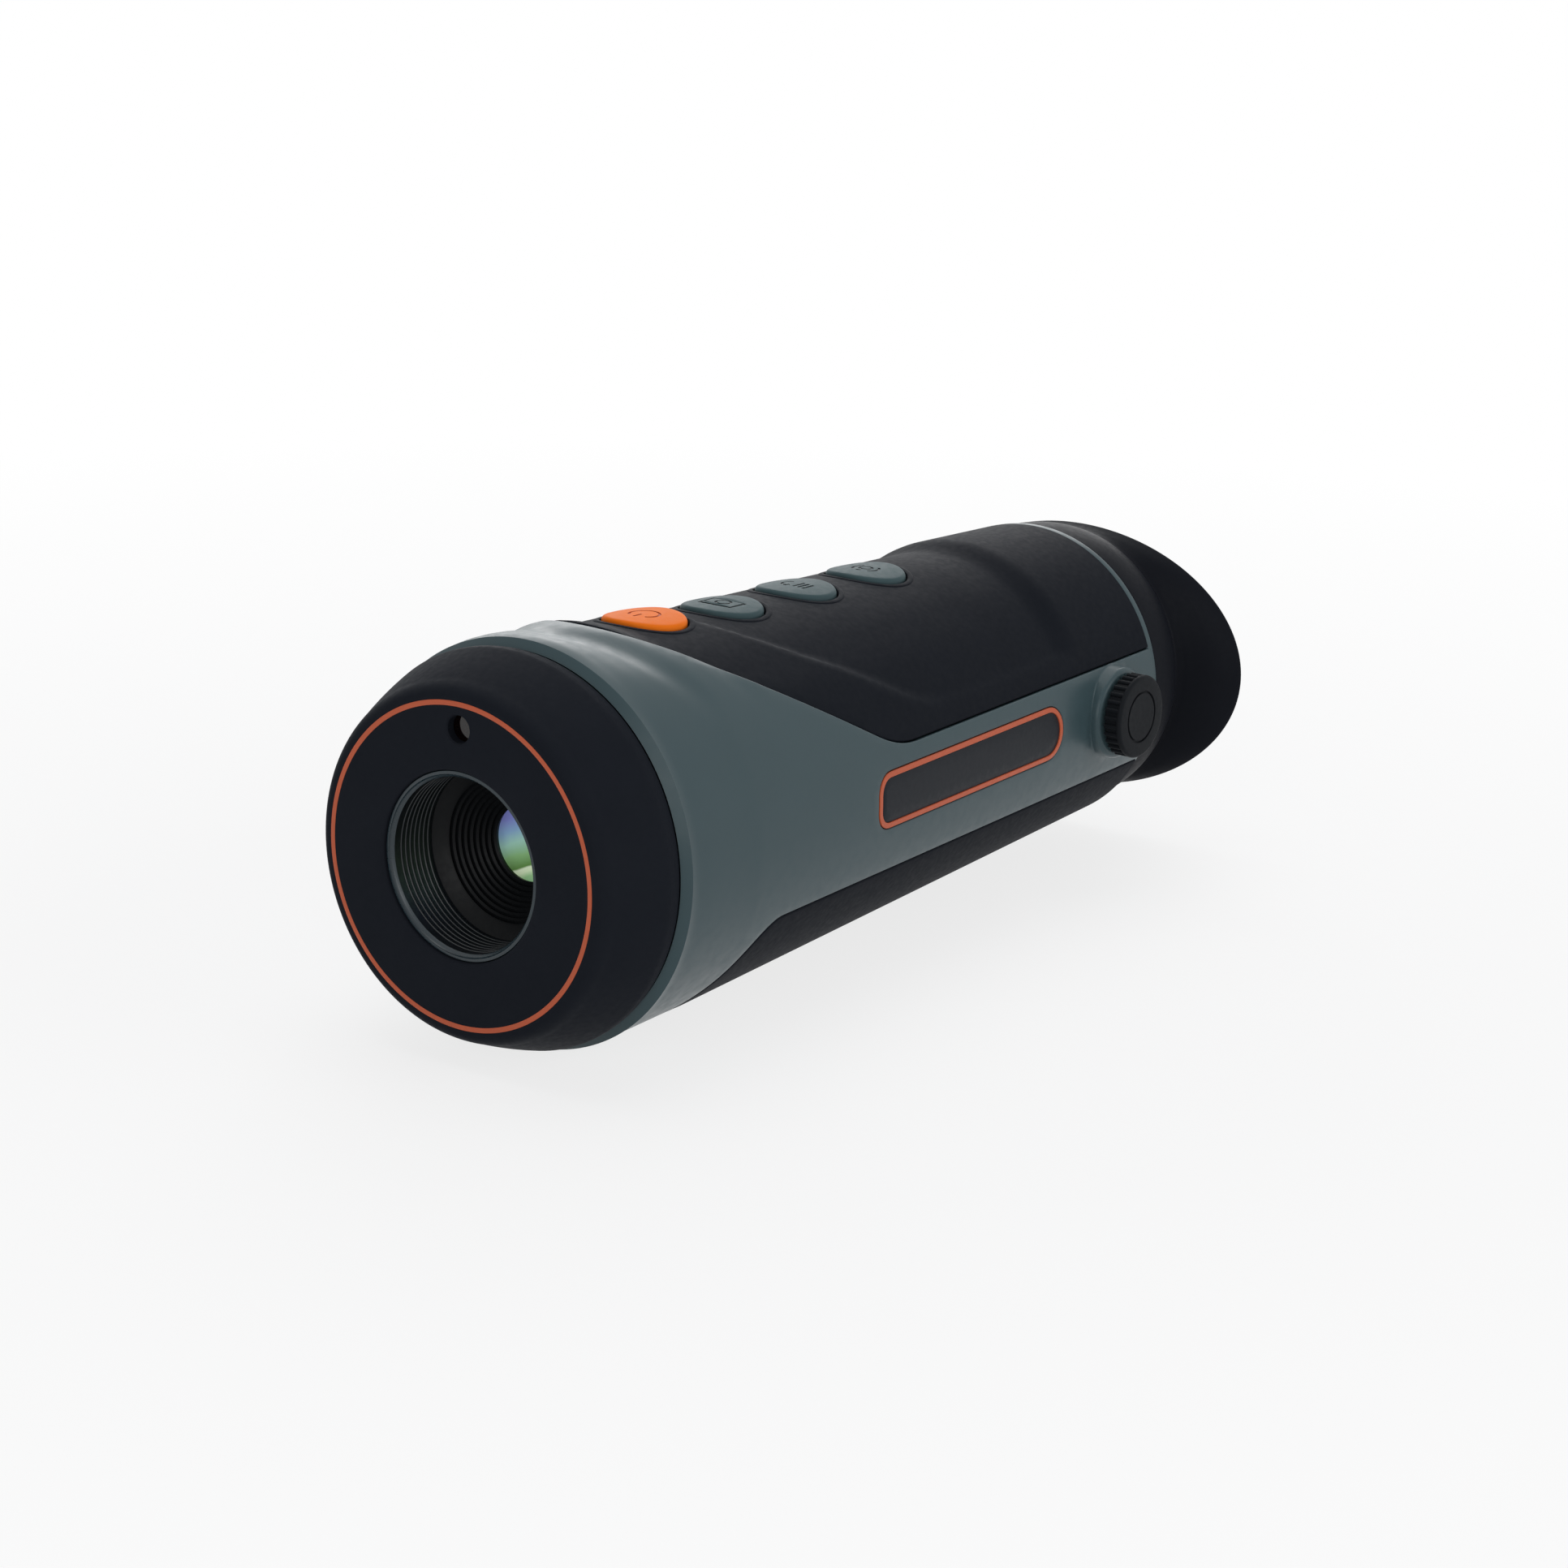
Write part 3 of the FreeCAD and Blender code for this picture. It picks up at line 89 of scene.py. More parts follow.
def curve(points, value):
    # smooth line through (place, height) points, level at each point
    for (x0, y0), (x1, y1) in zip(points, points[1:]):
        if value <= x1:
            return mix(y0, y1, smooth(value, x0, x1))
    return points[-1][1]


def arc(middle, radius, start, end, steps):
    # points from one angle to another, in degrees
    turns = [math.radians(mix(start, end, i / steps)) for i in range(steps + 1)]
    return [(middle[0] + radius * math.cos(t), middle[1] + radius * math.sin(t))
            for t in turns]


def circle(radius, count, middle=(0.0, 0.0)):
    return arc(middle, radius, 0, 360, count)[:-1]


# ---- finishes

def feed(tree, made, inputs):
    # links or sets the inputs of a node
    for socket, value in dict(inputs).items():
        if isinstance(value, bpy.types.NodeSocket):
            tree.links.new(value, made.inputs[socket])
        else:
            made.inputs[socket].default_value = value


def wire(tree, kind, inputs=(), output=0, **settings):
    # adds a node and gives back one of its outputs
    made = tree.nodes.new(kind)
    for key, value in settings.items():
        setattr(made, key, value)
    feed(tree, made, inputs)
    return made.outputs[output]


def maths(tree, operation, *numbers):
    return wire(tree, "ShaderNodeMath", dict(enumerate(numbers)), operation=operation)


def mixed(tree, factor, first, second):
    return wire(tree, "ShaderNodeMix", {
        "Factor": factor, "A": (*first, 1), "B": (*second, 1)}, "Result", data_type="RGBA")


def newMaterial(name):
    made = bpy.data.materials.new(name)
    made.use_nodes = True
    return made, made.node_tree, made.node_tree.nodes["Principled BSDF"]


mottle = 9.0  # size of the soft change between a finish's two colours, in mm


def finish(name, colour, second, roughness, grain, bump, depth, specular, spread=0.05,
           metallic=0.0):
    made, tree, shader = newMaterial(name)
    coords = wire(tree, "ShaderNodeTexCoord", output="Object")

    def noise(size, detail):
        return wire(tree, "ShaderNodeTexNoise", {
            "Vector": coords, "Scale": 1 / (size * mm), "Detail": detail})

    feed(tree, shader, {
        "Specular IOR Level": specular, "Metallic": metallic,
        "Base Color": mixed(tree, noise(mottle, 4), colour, second),
        "Roughness": wire(tree, "ShaderNodeMapRange", {
            "Value": noise(grain * 4, 3), "From Min": 0.3, "From Max": 0.7,
            "To Min": roughness - spread, "To Max": roughness + spread}),
        "Normal": wire(tree, "ShaderNodeBump", {
            "Height": noise(grain, 2), "Strength": bump, "Distance": depth * mm})})
    return made


# slot in the record, two colours, roughness, size of the grain in mm, strength and
# depth in mm of the bump, specular level, spread of the roughness, metallic
finishes = {
    "bezelBlack": ("bezel_black", (0.0090, 0.0108, 0.0150), (0.0115, 0.0135, 0.0185),
                   0.6, 0.22, 0.35, 0.02, 0.035),
    "housingGrey": ("housing_grey", (0.048, 0.080, 0.090), (0.044, 0.074, 0.083),
                    0.33, 0.45, 0.03, 0.01, 0.2),
    "coverRubber": ("cover_rubber", (0.0070, 0.0086, 0.0122), (0.0092, 0.0110, 0.0154),
                    0.6, 0.25, 0.2, 0.02, 0.035),
    "accentOrange": ("accent_orange", (0.56, 0.112, 0.046), (0.50, 0.098, 0.040),
                     0.42, 0.2, 0.08, 0.01, 0.25),
    "buttonOrange": ("button_orange", (0.98, 0.205, 0.013), (0.95, 0.195, 0.011),
                     0.5, 0.22, 0.1, 0.012, 0.04),
    "buttonGrey": ("button_grey", (0.053, 0.088, 0.096), (0.049, 0.081, 0.088),
                   0.5, 0.22, 0.1, 0.012, 0.06),
    "buttonOrangeInk": ("button_orange", (0.60, 0.100, 0.014), (0.54, 0.085, 0.012),
                        0.6, 0.2, 0.1, 0.01, 0.5),
    "buttonGreyInk": ("button_grey", (0.022, 0.032, 0.036), (0.018, 0.026, 0.030),
                      0.6, 0.2, 0.1, 0.01, 0.5),
    "plateBlack": ("bezel_black", (0.0135, 0.0155, 0.0200), (0.0160, 0.0185, 0.0230),
                   0.4, 0.15, 0.03, 0.008, 0.08),
    "knobBlack": ("knob_black", (0.0085, 0.0100, 0.0120), (0.0110, 0.0125, 0.0150),
                  0.5, 0.18, 0.25, 0.012, 0.05),
    "cupRubber": ("eyecup_rubber", (0.0062, 0.0072, 0.0105), (0.0082, 0.0092, 0.0125),
                  0.48, 0.2, 0.12, 0.02, 0.05),
    "sealRubber": ("seal_rubber", (0.012, 0.012, 0.013), (0.012, 0.012, 0.013),
                   0.55, 0.2, 0.15, 0.02, 0.5),
    "barrelBlack": ("barrel_black", (0.0052, 0.0065, 0.0085), (0.0070, 0.0085, 0.0105),
                    0.38, 0.3, 0.02, 0.008, 0.5, 0.03),
    # a lighter copy of the barrel's black for the threads: painted highlight on their crests
    "threadBlackPaintedLighter": ("barrel_black", (0.0090, 0.0115, 0.0135), (0.0110, 0.0140, 0.0160),
                    0.34, 0.3, 0.02, 0.008, 0.45, 0.03),
    "baffleBlack": ("barrel_black", (0.0035, 0.0042, 0.0050), (0.0045, 0.0052, 0.0060),
                    0.45, 0.2, 0.05, 0.008, 0.12),
    # a lighter, teal copy of the barrel's black: painted glint on the barrel's rounded edge
    "paintedRimGlint": ("barrel_black", (0.012, 0.026, 0.034), (0.010, 0.022, 0.030),
                0.3, 0.15, 0.05, 0.005, 0.5),
    "turnedSteel": ("steel", (0.55, 0.56, 0.58), (0.50, 0.51, 0.53),
                    0.3, 0.12, 0.2, 0.008, 0.5, 0.05, 1.0),
    "turnedBrass": ("brass", (0.68, 0.47, 0.20), (0.60, 0.40, 0.16),
                    0.3, 0.12, 0.2, 0.008, 0.5, 0.05, 1.0),
    "boardGreen": ("board_green", (0.020, 0.120, 0.055), (0.016, 0.100, 0.045),
                   0.4, 0.4, 0.1, 0.02, 0.5),
    "innerPlastic": ("inner_plastic", (0.020, 0.020, 0.021), (0.026, 0.026, 0.027),
                     0.5, 0.3, 0.15, 0.02, 0.5),
    "cellSleeve": ("cell_sleeve", (0.050, 0.130, 0.330), (0.045, 0.115, 0.300),
                   0.25, 0.5, 0.05, 0.02, 0.5),
}

lensLook = {
    "centre": -1.0, "reach": 6.2, "lean": 0.45,   # mm below the axis, half span, sideways share
    # the disc emits its own colours at this strength, as painted light
    "metallic": 0.35, "roughness": 0.12, "paintedGlow": 0.46,
    "waver": (0.28, 0.07),                        # waves per mm, and their share of the span
    # coating tint with a painted reflection over it: greens, a painted pale highlight from 0.27 to
    # 0.315, dark olive, then blue-violet at the top
    "stops": [(0.0, (0.30, 0.56, 0.34)), (0.20, (0.34, 0.62, 0.30)), (0.27, (0.70, 0.86, 0.56)),
              (0.315, (0.74, 0.88, 0.62)), (0.34, (0.12, 0.26, 0.07)),
              (0.50, (0.24, 0.46, 0.20)), (0.66, (0.34, 0.60, 0.50)),
              (0.82, (0.24, 0.40, 0.60)), (1.0, (0.20, 0.22, 0.56))],
}


def coatedLensWithPaintedLight(name, centre, reach, lean, metallic, roughness, paintedGlow, waver, stops):
    # infrared coating tint under a painted reflection: blue-violet at the top of the disc, green
    # lower down, a painted pale highlight between two greens, all emitted as painted light
    coat, tree, shader = newMaterial(name)
    coords = wire(tree, "ShaderNodeTexCoord", output="Object")
    height = wire(tree, "ShaderNodeVectorMath", {0: coords, 1: (-lean, 0.0, 1.0)}, "Value",
                  operation="DOT_PRODUCT")
    middle = axisHeight + centre * mm
    span = wire(tree, "ShaderNodeMapRange", {
        "Value": height, "From Min": middle - reach * mm, "From Max": middle + reach * mm})
    noise = wire(tree, "ShaderNodeTexNoise", {
        "Vector": coords, "Scale": waver[0] / mm, "Detail": 1.0})
    ramp = wire(tree, "ShaderNodeValToRGB", {
        "Fac": maths(tree, "MULTIPLY_ADD", noise, waver[1], span)})
    elements = ramp.node.color_ramp.elements
    for spot, _ in stops[1:-1]:
        elements.new(spot)
    for element, (spot, colour) in zip(elements, stops):
        element.position, element.color = spot, (*colour, 1)
    # the ramp is the base colour and is also emitted, as painted light
    feed(tree, shader, {
        "Base Color": ramp, "Emission Color": ramp, "Emission Strength": paintedGlow,
        "Metallic": metallic, "Roughness": roughness})
    return coat


glassLook = {"roughness": 0.03, "index": 1.5, "clear": 0.9, "edgeBlend": 0.3, "edgeShade": 0.7}


def clearGlass(name, colour):
    glass, tree, shader = newMaterial(name)
    facing = wire(tree, "ShaderNodeLayerWeight", {"Blend": glassLook["edgeBlend"]}, "Facing")
    rim = [c * glassLook["edgeShade"] for c in colour]
    feed(tree, shader, {
        "Base Color": mixed(tree, facing, colour, rim), "Roughness": glassLook["roughness"],
        "IOR": glassLook["index"], "Transmission Weight": glassLook["clear"]})
    return glass


material = {name: finish(name, *look[1:]) for name, look in finishes.items()}
# the lens finish holds painted reflection colours and emits them as painted light
material["lensCoat"] = coatedLensWithPaintedLight("lensCoat", **lensLook)
material["eyeGlass"] = clearGlass("eyeGlass", (0.55, 0.72, 0.85))
material["laserGlass"] = clearGlass("laserGlass", (0.030, 0.008, 0.008))
slotOf = {name: look[0] for name, look in finishes.items()}
slotOf.update(lensCoat="lens_coated", eyeGlass="eye_glass", laserGlass="laser_glass")
cadFinish = {slot: name for name, slot in reversed(slotOf.items())}  # the first look wins
for row in frame["record"]["subparts"]:
    mesh = frame["nodes"][row["node"]].data
    mesh.materials.clear()
    mesh.materials.append(material[cadFinish[row["material_slot"]]])
print("finishes made")


# ---- meshes

class Shell:
    # grows one mesh out of patches; points are welded when it is finished

    def __init__(self):
        self.points, self.faces, self.slots = [], [], []

    def add(self, points, faces, slot=0):
        first = len(self.points)
        self.points += points
        self.faces += [tuple(first + i for i in face) for face in faces]
        self.slots += [slot] * len(faces)

    def rings(self, rings, closed=True, slot=0):
        # quads between neighbouring rings of equal length
        count = len(rings[0])
        faces = []
        for a in range(0, (len(rings) - 1) * count, count):
            for i in range(count if closed else count - 1):
                j = (i + 1) % count
                faces.append((a + i, a + j, a + count + j, a + count + i))
        self.add([point for ring in rings for point in ring], faces, slot)

    def fan(self, ring, middle):
        count = len(ring)
        self.add(list(ring) + [middle], [(i, (i + 1) % count, count) for i in range(count)])


def bake(piece):
    # the mesh that the modifiers make takes the place of the first one
    evaluated = piece.evaluated_get(bpy.context.evaluated_depsgraph_get())
    baked = bpy.data.meshes.new_from_object(evaluated)
    baked.name = piece.name
    piece.modifiers.clear()
    piece.data = baked


def newObject(name, data):
    made = bpy.data.objects.new(name, data)
    bpy.context.scene.collection.objects.link(made)
    return made


weld = 0.004 * mm


def finishPiece(name, shell, materials, replaced=(), body="root", wall=0.0, sharp=40):
    mesh = bpy.data.meshes.new(name)
    mesh.from_pydata([place(*p) for p in shell.points], [], shell.faces)
    for look in materials:
        mesh.materials.append(material[look])
    for polygon, slot in zip(mesh.polygons, shell.slots):
        polygon.material_index = slot
    work = bmesh.new()
    work.from_mesh(mesh)
    bmesh.ops.remove_doubles(work, verts=work.verts, dist=weld)
    bmesh.ops.dissolve_degenerate(work, edges=work.edges, dist=weld / 4)
    bmesh.ops.recalc_face_normals(work, faces=work.faces)
    if wall:
        # a skin has no inside, so the side that faces away from the axis decides
        outward = 0.0
        for face in work.faces:
            middle = face.calc_center_median()
            away = Vector((middle.x, 0, middle.z - axisHeight))
            outward += face.calc_area() * face.normal.dot(away)
        if outward < 0:
            bmesh.ops.reverse_faces(work, faces=work.faces)
    work.to_mesh(mesh)
    work.free()
    piece = newObject(name, mesh)
    if wall:
        solid = piece.modifiers.new("wall", "SOLIDIFY")
        solid.thickness, solid.offset = wall * mm, -1
        bake(piece)
    piece.data.shade_smooth()
    piece.data.set_sharp_from_angle(angle=math.radians(sharp))
    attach(piece, body)
    if replaced:
        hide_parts(*replaced)


def turned(profile, count, middle=(0.0, 0.0), sideways=False):
    # rings of a turned piece about the optical axis or across it; profile is
    # (radius, station)
    rings = []
    for radius, station in profile:
        ring = [(middle[0] + y, middle[1] + x) for x, y in circle(radius, count)]
        rings.append([(station, a, b) if sideways else (a, station, b) for a, b in ring])
    return rings


# ---- flat patches with true edges, lifted onto a surface

def isInside(points, loop):
    x, y = points[:, 0], points[:, 1]
    found = np.zeros(len(points), bool)
    for (x0, y0), (x1, y1) in zip(loop, loop[1:] + loop[:1]):
        if y0 != y1:
            found ^= ((y0 > y) != (y1 > y)) & (x < (x1 - x0) * (y - y0) / (y1 - y0) + x0)
    return found


def edgeDistance(points, loop):
    nearest = np.full(len(points), 1e9)
    for start, end in zip(loop, loop[1:] + loop[:1]):
        start, run = np.array(start), np.array(end) - np.array(start)
        t = np.clip((points - start) @ run / max(run @ run, 1e-12), 0, 1)
        gap = points - start - t[:, None] * run
        nearest = np.minimum(nearest, np.hypot(gap[:, 0], gap[:, 1]))
    return nearest


rowHeight, edgeMargin = 0.866, 0.55  # of the spacing


def patch(outline, holes, spacing):
    # triangles inside the outline and outside an odd number of holes, and those within
    loops = [outline] + holes
    points, edges = [], []
    for loop in loops:
        first = len(points)
        points += loop
        edges += [(first + i, first + (i + 1) % len(loop)) for i in range(len(loop))]
    low, high = np.array(outline).min(0), np.array(outline).max(0)
    rise = spacing * rowHeight
    grid = np.array([(low[0] + (i + 0.5 * (j % 2)) * spacing, low[1] + j * rise)
                     for j in range(int((high[1] - low[1]) / rise) + 1)
                     for i in range(int((high[0] - low[0]) / spacing) + 1)])
    keep = isInside(grid, outline)
    for loop in loops:
        keep &= edgeDistance(grid, loop) > spacing * edgeMargin
    points += [tuple(p) for p in grid[keep]]
    found = delaunay_2d_cdt([Vector(p) for p in points], edges, [], 0, 1e-6)
    corners = [tuple(v) for v in found[0]]
    triangles = np.array(found[2])
    middles = np.array(corners)[triangles].mean(1)
    within = isInside(middles, outline)
    sunk = np.zeros(len(middles), bool)
    for loop in holes:
        sunk ^= isInside(middles, loop)
    return corners, triangles[within & ~sunk].tolist(), triangles[within & sunk].tolist()


def shifted(loop, distance, closed=True):
    # the loop moved sideways, to the right of its direction
    points = np.array(loop)
    if closed:
        ahead, behind = np.roll(points, -1, 0), np.roll(points, 1, 0)
    else:
        ahead = np.vstack([points[1:], 2 * points[-1] - points[-2]])
        behind = np.vstack([2 * points[0] - points[1], points[:-1]])
    run = ahead - behind
    run /= np.hypot(run[:, 0], run[:, 1])[:, None]
    return [tuple(p) for p in points + np.stack([run[:, 1], -run[:, 0]], 1) * distance]


def evenly(points, step):
    # the same line with points about one step apart
    points = np.array(points)
    run = np.hypot(*(points[1:] - points[:-1]).T)
    along = np.concatenate([[0], np.cumsum(run)])
    marks = np.linspace(0, along[-1], max(int(round(along[-1] / step)), 2) + 1)
    return [(float(np.interp(s, along, points[:, 0])), float(np.interp(s, along, points[:, 1])))
            for s in marks]


def lifted(line, surface, drop=0.0, up=1):
    # unrolled points put on a surface; up is -1 for angles from the keel
    points = []
    for x, station in line:
        angle = x / unroll
        radius = surface(station, angle) - drop
        points.append((radius * math.sin(angle), station, up * radius * math.cos(angle)))
    return points


def fill(shell, outline, spacing, surface, drop=0.0, holes=(), up=1):
    corners, faces, _ = patch(outline, list(holes), spacing)
    shell.add(lifted(corners, surface, drop, up), faces)


# ---- node trees for what repeats or follows a rule

def newTree(name, numbers):
    tree = bpy.data.node_groups.new(name, "GeometryNodeTree")
    tree.interface.new_socket("Geometry", in_out="INPUT", socket_type="NodeSocketGeometry")
    for label, value in numbers.items():
        kind = "NodeSocketInt" if isinstance(value, int) else "NodeSocketFloat"
        tree.interface.new_socket(label, in_out="INPUT", socket_type=kind)
    tree.interface.new_socket("Geometry", in_out="OUTPUT", socket_type="NodeSocketGeometry")
    return tree, tree.nodes.new("NodeGroupInput").outputs


def grow(tree, numbers, geometry):
    # ends the tree, runs it on an empty mesh and gives back what it makes, in mm
    real = wire(tree, "GeometryNodeRealizeInstances", {"Geometry": geometry})
    feed(tree, tree.nodes.new("NodeGroupOutput"), {"Geometry": real})
    seed = newObject(tree.name, bpy.data.meshes.new(tree.name))
    modifier = seed.modifiers.new("grow", "NODES")
    modifier.node_group = tree
    for item in tree.interface.items_tree:
        if item.name in numbers:
            modifier[item.identifier] = numbers[item.name]
    bake(seed)
    shell = Shell()
    shell.add([tuple(v.co) for v in seed.data.vertices],
              [tuple(p.vertices) for p in seed.data.polygons])
    bpy.data.objects.remove(seed)
    return shell


def placed(tree, points, instance, spot, rotation):
    # copies on points, moved to a spot and turned
    copies = wire(tree, "GeometryNodeInstanceOnPoints", {
        "Points": points, "Instance": instance})
    return wire(tree, "GeometryNodeTransform", {
        "Geometry": copies, "Translation": wire(tree, "ShaderNodeCombineXYZ", spot),
        "Rotation": rotation})


def roundRibs(numbers):
    # round ribs on a circle about the X axis
    tree, given = newTree("roundRibs", numbers)
    rib = wire(tree, "GeometryNodeMeshCylinder", {
        "Vertices": 12, "Radius": given["Rib radius"], "Depth": given["Rib length"]})
    ring = wire(tree, "GeometryNodeMeshCircle", {
        "Vertices": given["Ribs"], "Radius": given["Circle radius"]})
    return grow(tree, numbers, placed(
        tree, ring, rib, {"X": given["Middle"], "Y": given["Station"]},
        (0.0, math.pi / 2, 0.0)))


def boreRidges(numbers):
    # equal ridges inside a bore, one behind the other along the optical axis
    tree, given = newTree("boreRidges", numbers)
    path, section = (wire(tree, "GeometryNodeCurvePrimitiveCircle", {
        "Resolution": count, "Radius": given[size]})
        for count, size in ((128, "Bore radius"), (10, "Ridge radius")))
    ridge = wire(tree, "GeometryNodeCurveToMesh", {"Curve": path, "Profile Curve": section})
    line = wire(tree, "GeometryNodeMeshLine", {
        "Count": given["Ridges"],
        "Offset": wire(tree, "ShaderNodeCombineXYZ", {"Z": given["Pitch"]})})
    return grow(tree, numbers, placed(
        tree, line, ridge, {"Y": given["First station"]}, (-math.pi / 2, 0.0, 0.0)))


def ruleCurve(tree, value, rows):
    # a number read from evenly spaced rows along the section of a piece
    read = wire(tree, "ShaderNodeFloatCurve", {"Value": value})
    mapping = read.node.mapping
    points = mapping.curves[0].points
    while len(points) < len(rows):
        points.new(0.5, 0.5)
    for i, row in enumerate(rows):
        points[i].location = (i / (len(rows) - 1), row)
        points[i].handle_type = "AUTO"
    mapping.update()
    return read


def ovalCup(numbers, rows):
    # oval rings that follow the rows of a section: station, width, height and dip
    tree, given = newTree("ovalCup", numbers)

    def product(first, *others):
        for other in others:
            first = maths(tree, "MULTIPLY", first, other)
        return first

    grid = wire(tree, "GeometryNodeMeshGrid", {
        "Size X": 1.0, "Size Y": 1.0, "Vertices X": given["Rings"],
        "Vertices Y": given["Sides"]})
    here = wire(tree, "ShaderNodeSeparateXYZ", {
        "Vector": wire(tree, "GeometryNodeInputPosition")}).node.outputs
    along = maths(tree, "ADD", here["X"], 0.5)
    turn = product(here["Y"], 2 * math.pi)
    station, wide, high, dip = (ruleCurve(tree, along, column) for column in zip(*rows))
    upright = maths(tree, "COSINE", turn)
    depth = maths(tree, "ADD", given["Front"], product(station, given["Length"]))
    spot = wire(tree, "ShaderNodeCombineXYZ", {
        "X": product(wide, given["Half width"], maths(tree, "SINE", turn)),
        "Y": maths(tree, "SUBTRACT", depth, product(dip, given["Dip"], upright, upright)),
        "Z": product(high, given["Half width"], upright)})
    bent = wire(tree, "GeometryNodeSetPosition", {"Geometry": grid, "Position": spot})
    return grow(tree, numbers, wire(tree, "GeometryNodeMergeByDistance", {
        "Geometry": bent, "Distance": 0.003}))


# ---- form of the housing

body = {
    "frontRadius": 29.7, "frontStation": 31.0, "rearRadius": 25.5, "rearStation": 141.0,
    "end": 146.0, "restDepth": 29.83, "collar": 13.4, "ridgeEnd": 34.8,
    "spacing": 1.15, "step": 0.8,   # size of the triangles, and of the steps along edges
    "joint": 0.10,                  # half of the open joint between two covers
    "edgeRound": 0.30, "edgeDepth": 1.4, "wall": 1.0, "plateDepth": 0.9,
    "plateRound": 0.18, "flapRound": 0.2, "rearDepth": 1.6,
    "collarCount": 200, "keelCount": 14, "rearCount": 40,           # points along the edges
}
# height of the shoulder along the crown, where its two ridges stand out most
crownLine = [(13.4, 28.78), (14.7, 30.25), (17.2, 30.0), (20.9, 29.45), (24.6, 29.95),
             (27.5, 29.9), (31.3, 29.4), (34.8, 29.555)]
# the same line away from the ridges
plainLine = [(13.4, 28.78), (14.6, 30.3), (15.6, 29.95), (31.0, 29.7)]
ridges = {"sweep": (0.14, 0.19),            # how far each crest lies back, in mm per degree
          "crests": (14.7, 30.0), "fade": (14, 54), "end": 56, "restFrom": 150}


def taper(station):
    slope = (body["rearRadius"] - body["frontRadius"]) / (
        body["rearStation"] - body["frontStation"])
    return body["frontRadius"] + slope * (station - body["frontStation"])


def plainRadius(station):
    return taper(station) if station > body["frontStation"] else curve(plainLine, station)


def housingRadius(station, angle):
    degrees = abs(math.degrees(angle))
    plain = plainRadius(station)
    if degrees > ridges["restFrom"]:  # the collar is flattened below, so it lies still
        return min(plain, body["restDepth"] / -math.cos(angle))
    if degrees > ridges["end"]:
        return plain
    # the ridges sweep back, so the crown's line is read further forward
    first = ridges["crests"][0]
    back = mix(*ridges["sweep"], smooth(station, *ridges["crests"])) * degrees
    along = station - back * smooth(station, first, first + 1.5 * back + 0.01)
    if along > body["ridgeEnd"]:
        return plain
    return mix(plain, curve(crownLine, along), 1 - smooth(degrees, *ridges["fade"]))


# Both covers have edges that are straight when seen from the side, so their angle
# round the axis follows from the height of that line.

edge = {"top": (7.8, 69.0, 0.5238, 5.0),      # height, knee, slope and length of the corner
        "low": (11.6, 36.6, 1.529, 3.5)}


def edgeHalf(which):
    # one side of a cover's outline as (length round the axis, station), from its front
    level, knee, slope, corner = edge[which]

    def angle(station):
        if abs(station - knee) < corner:  # a parabola rounds the knee
            height = level + slope * (corner - (station - knee)) ** 2 / (4 * corner)
        else:
            height = level + slope * max(knee - station, 0.0)
        return math.acos(min(height / taper(station), 1.0))

    low, high = 20.0, 40.0
    for _ in range(50):
        middle = (low + high) / 2
        low, high = (low, middle) if angle(middle) > 0 else (middle, high)
    line = [(0.0, high)]
    for i in range(1, 401):
        station = high + (body["end"] - high) * (i / 400) ** 2
        line.append((angle(station) * unroll, station))
    return evenly(line, body["step"])


def mirrored(line):
    return [(-x, y) for x, y in reversed(line)]


topHalf, lowHalf = edgeHalf("top"), edgeHalf("low")
seam = math.pi * unroll
topEdge = mirrored(topHalf)[:-1] + topHalf                    # from left to right
lowEdge = [(seam - x, y) for x, y in lowHalf]                 # right side, to the rear


def sideLoop(points, side=1, step=body["step"]):
    # a closed outline in side view, (station, height), wrapped on the housing
    return [(side * math.acos(height / taper(station)) * unroll, station)
            for station, height in evenly(points + points[:1], step)[:-1]]


def roundedBox(low, high, corners):
    # anticlockwise from the lower front corner; corners are the four radii
    (x0, y0), (x1, y1) = low, high
    spots = [(x0, y0, 1, 1, 180), (x1, y0, -1, 1, 270), (x1, y1, -1, -1, 0),
             (x0, y1, 1, -1, 90)]
    line = []
    for (x, y, sx, sy, start), r in zip(spots, corners):
        line += arc((x + sx * r, y + sy * r), r, start, start + 90, 7)
    return line


def edgeStrip(shell, line, side, surface, closed=False, depth=body["edgeDepth"],
              radius=body["edgeRound"], gap=body["joint"], steps=4, up=1):
    # a rounded edge that turns down into the joint; side is +1 where the open joint
    # lies to the right of the line. The rim where it starts is given back.
    rings = []
    for i in range(steps + 1):
        turn = math.radians(90 * i / steps)
        out = radius * math.sin(turn) - radius - gap
        rings.append(lifted(shifted(line, side * out, closed), surface,
                            radius * (1 - math.cos(turn)), up))
    rings.append(lifted(shifted(line, -side * gap, closed), surface, depth, up))
    shell.rings(rings, closed)
    return shifted(line, side * (-radius - gap), closed)


pockets = {
    "plate": ((61.9, -3.9), (116.0, 4.9), (3.2, 4.1, 4.1, 3.4)),  # two corners and radii
    "flap": ((90.0, -1.8), (106.0, 6.2), [1.2] * 4), "flapDepth": 1.6,
    "port": ((93.4, 0.5), (102.6, 3.9), [0.6] * 4),
}
floorSpacing, portSpacing = 2.0, 1.2
plateLoop = sideLoop(roundedBox(*pockets["plate"]))
flapLoop = sideLoop(roundedBox(*pockets["flap"]), -1)

boss = {"station": 132.4, "blend": ((7.8, 0.0), (7.66, 0.03), (7.55, 0.12)), "radius": 7.5,
        "face": 27.6, "round": 0.9, "bore": (2.9, 2.7), "boreDepth": 0.3}


def bossRing(radius):
    return circle(radius, 72, (boss["station"], 0.0))


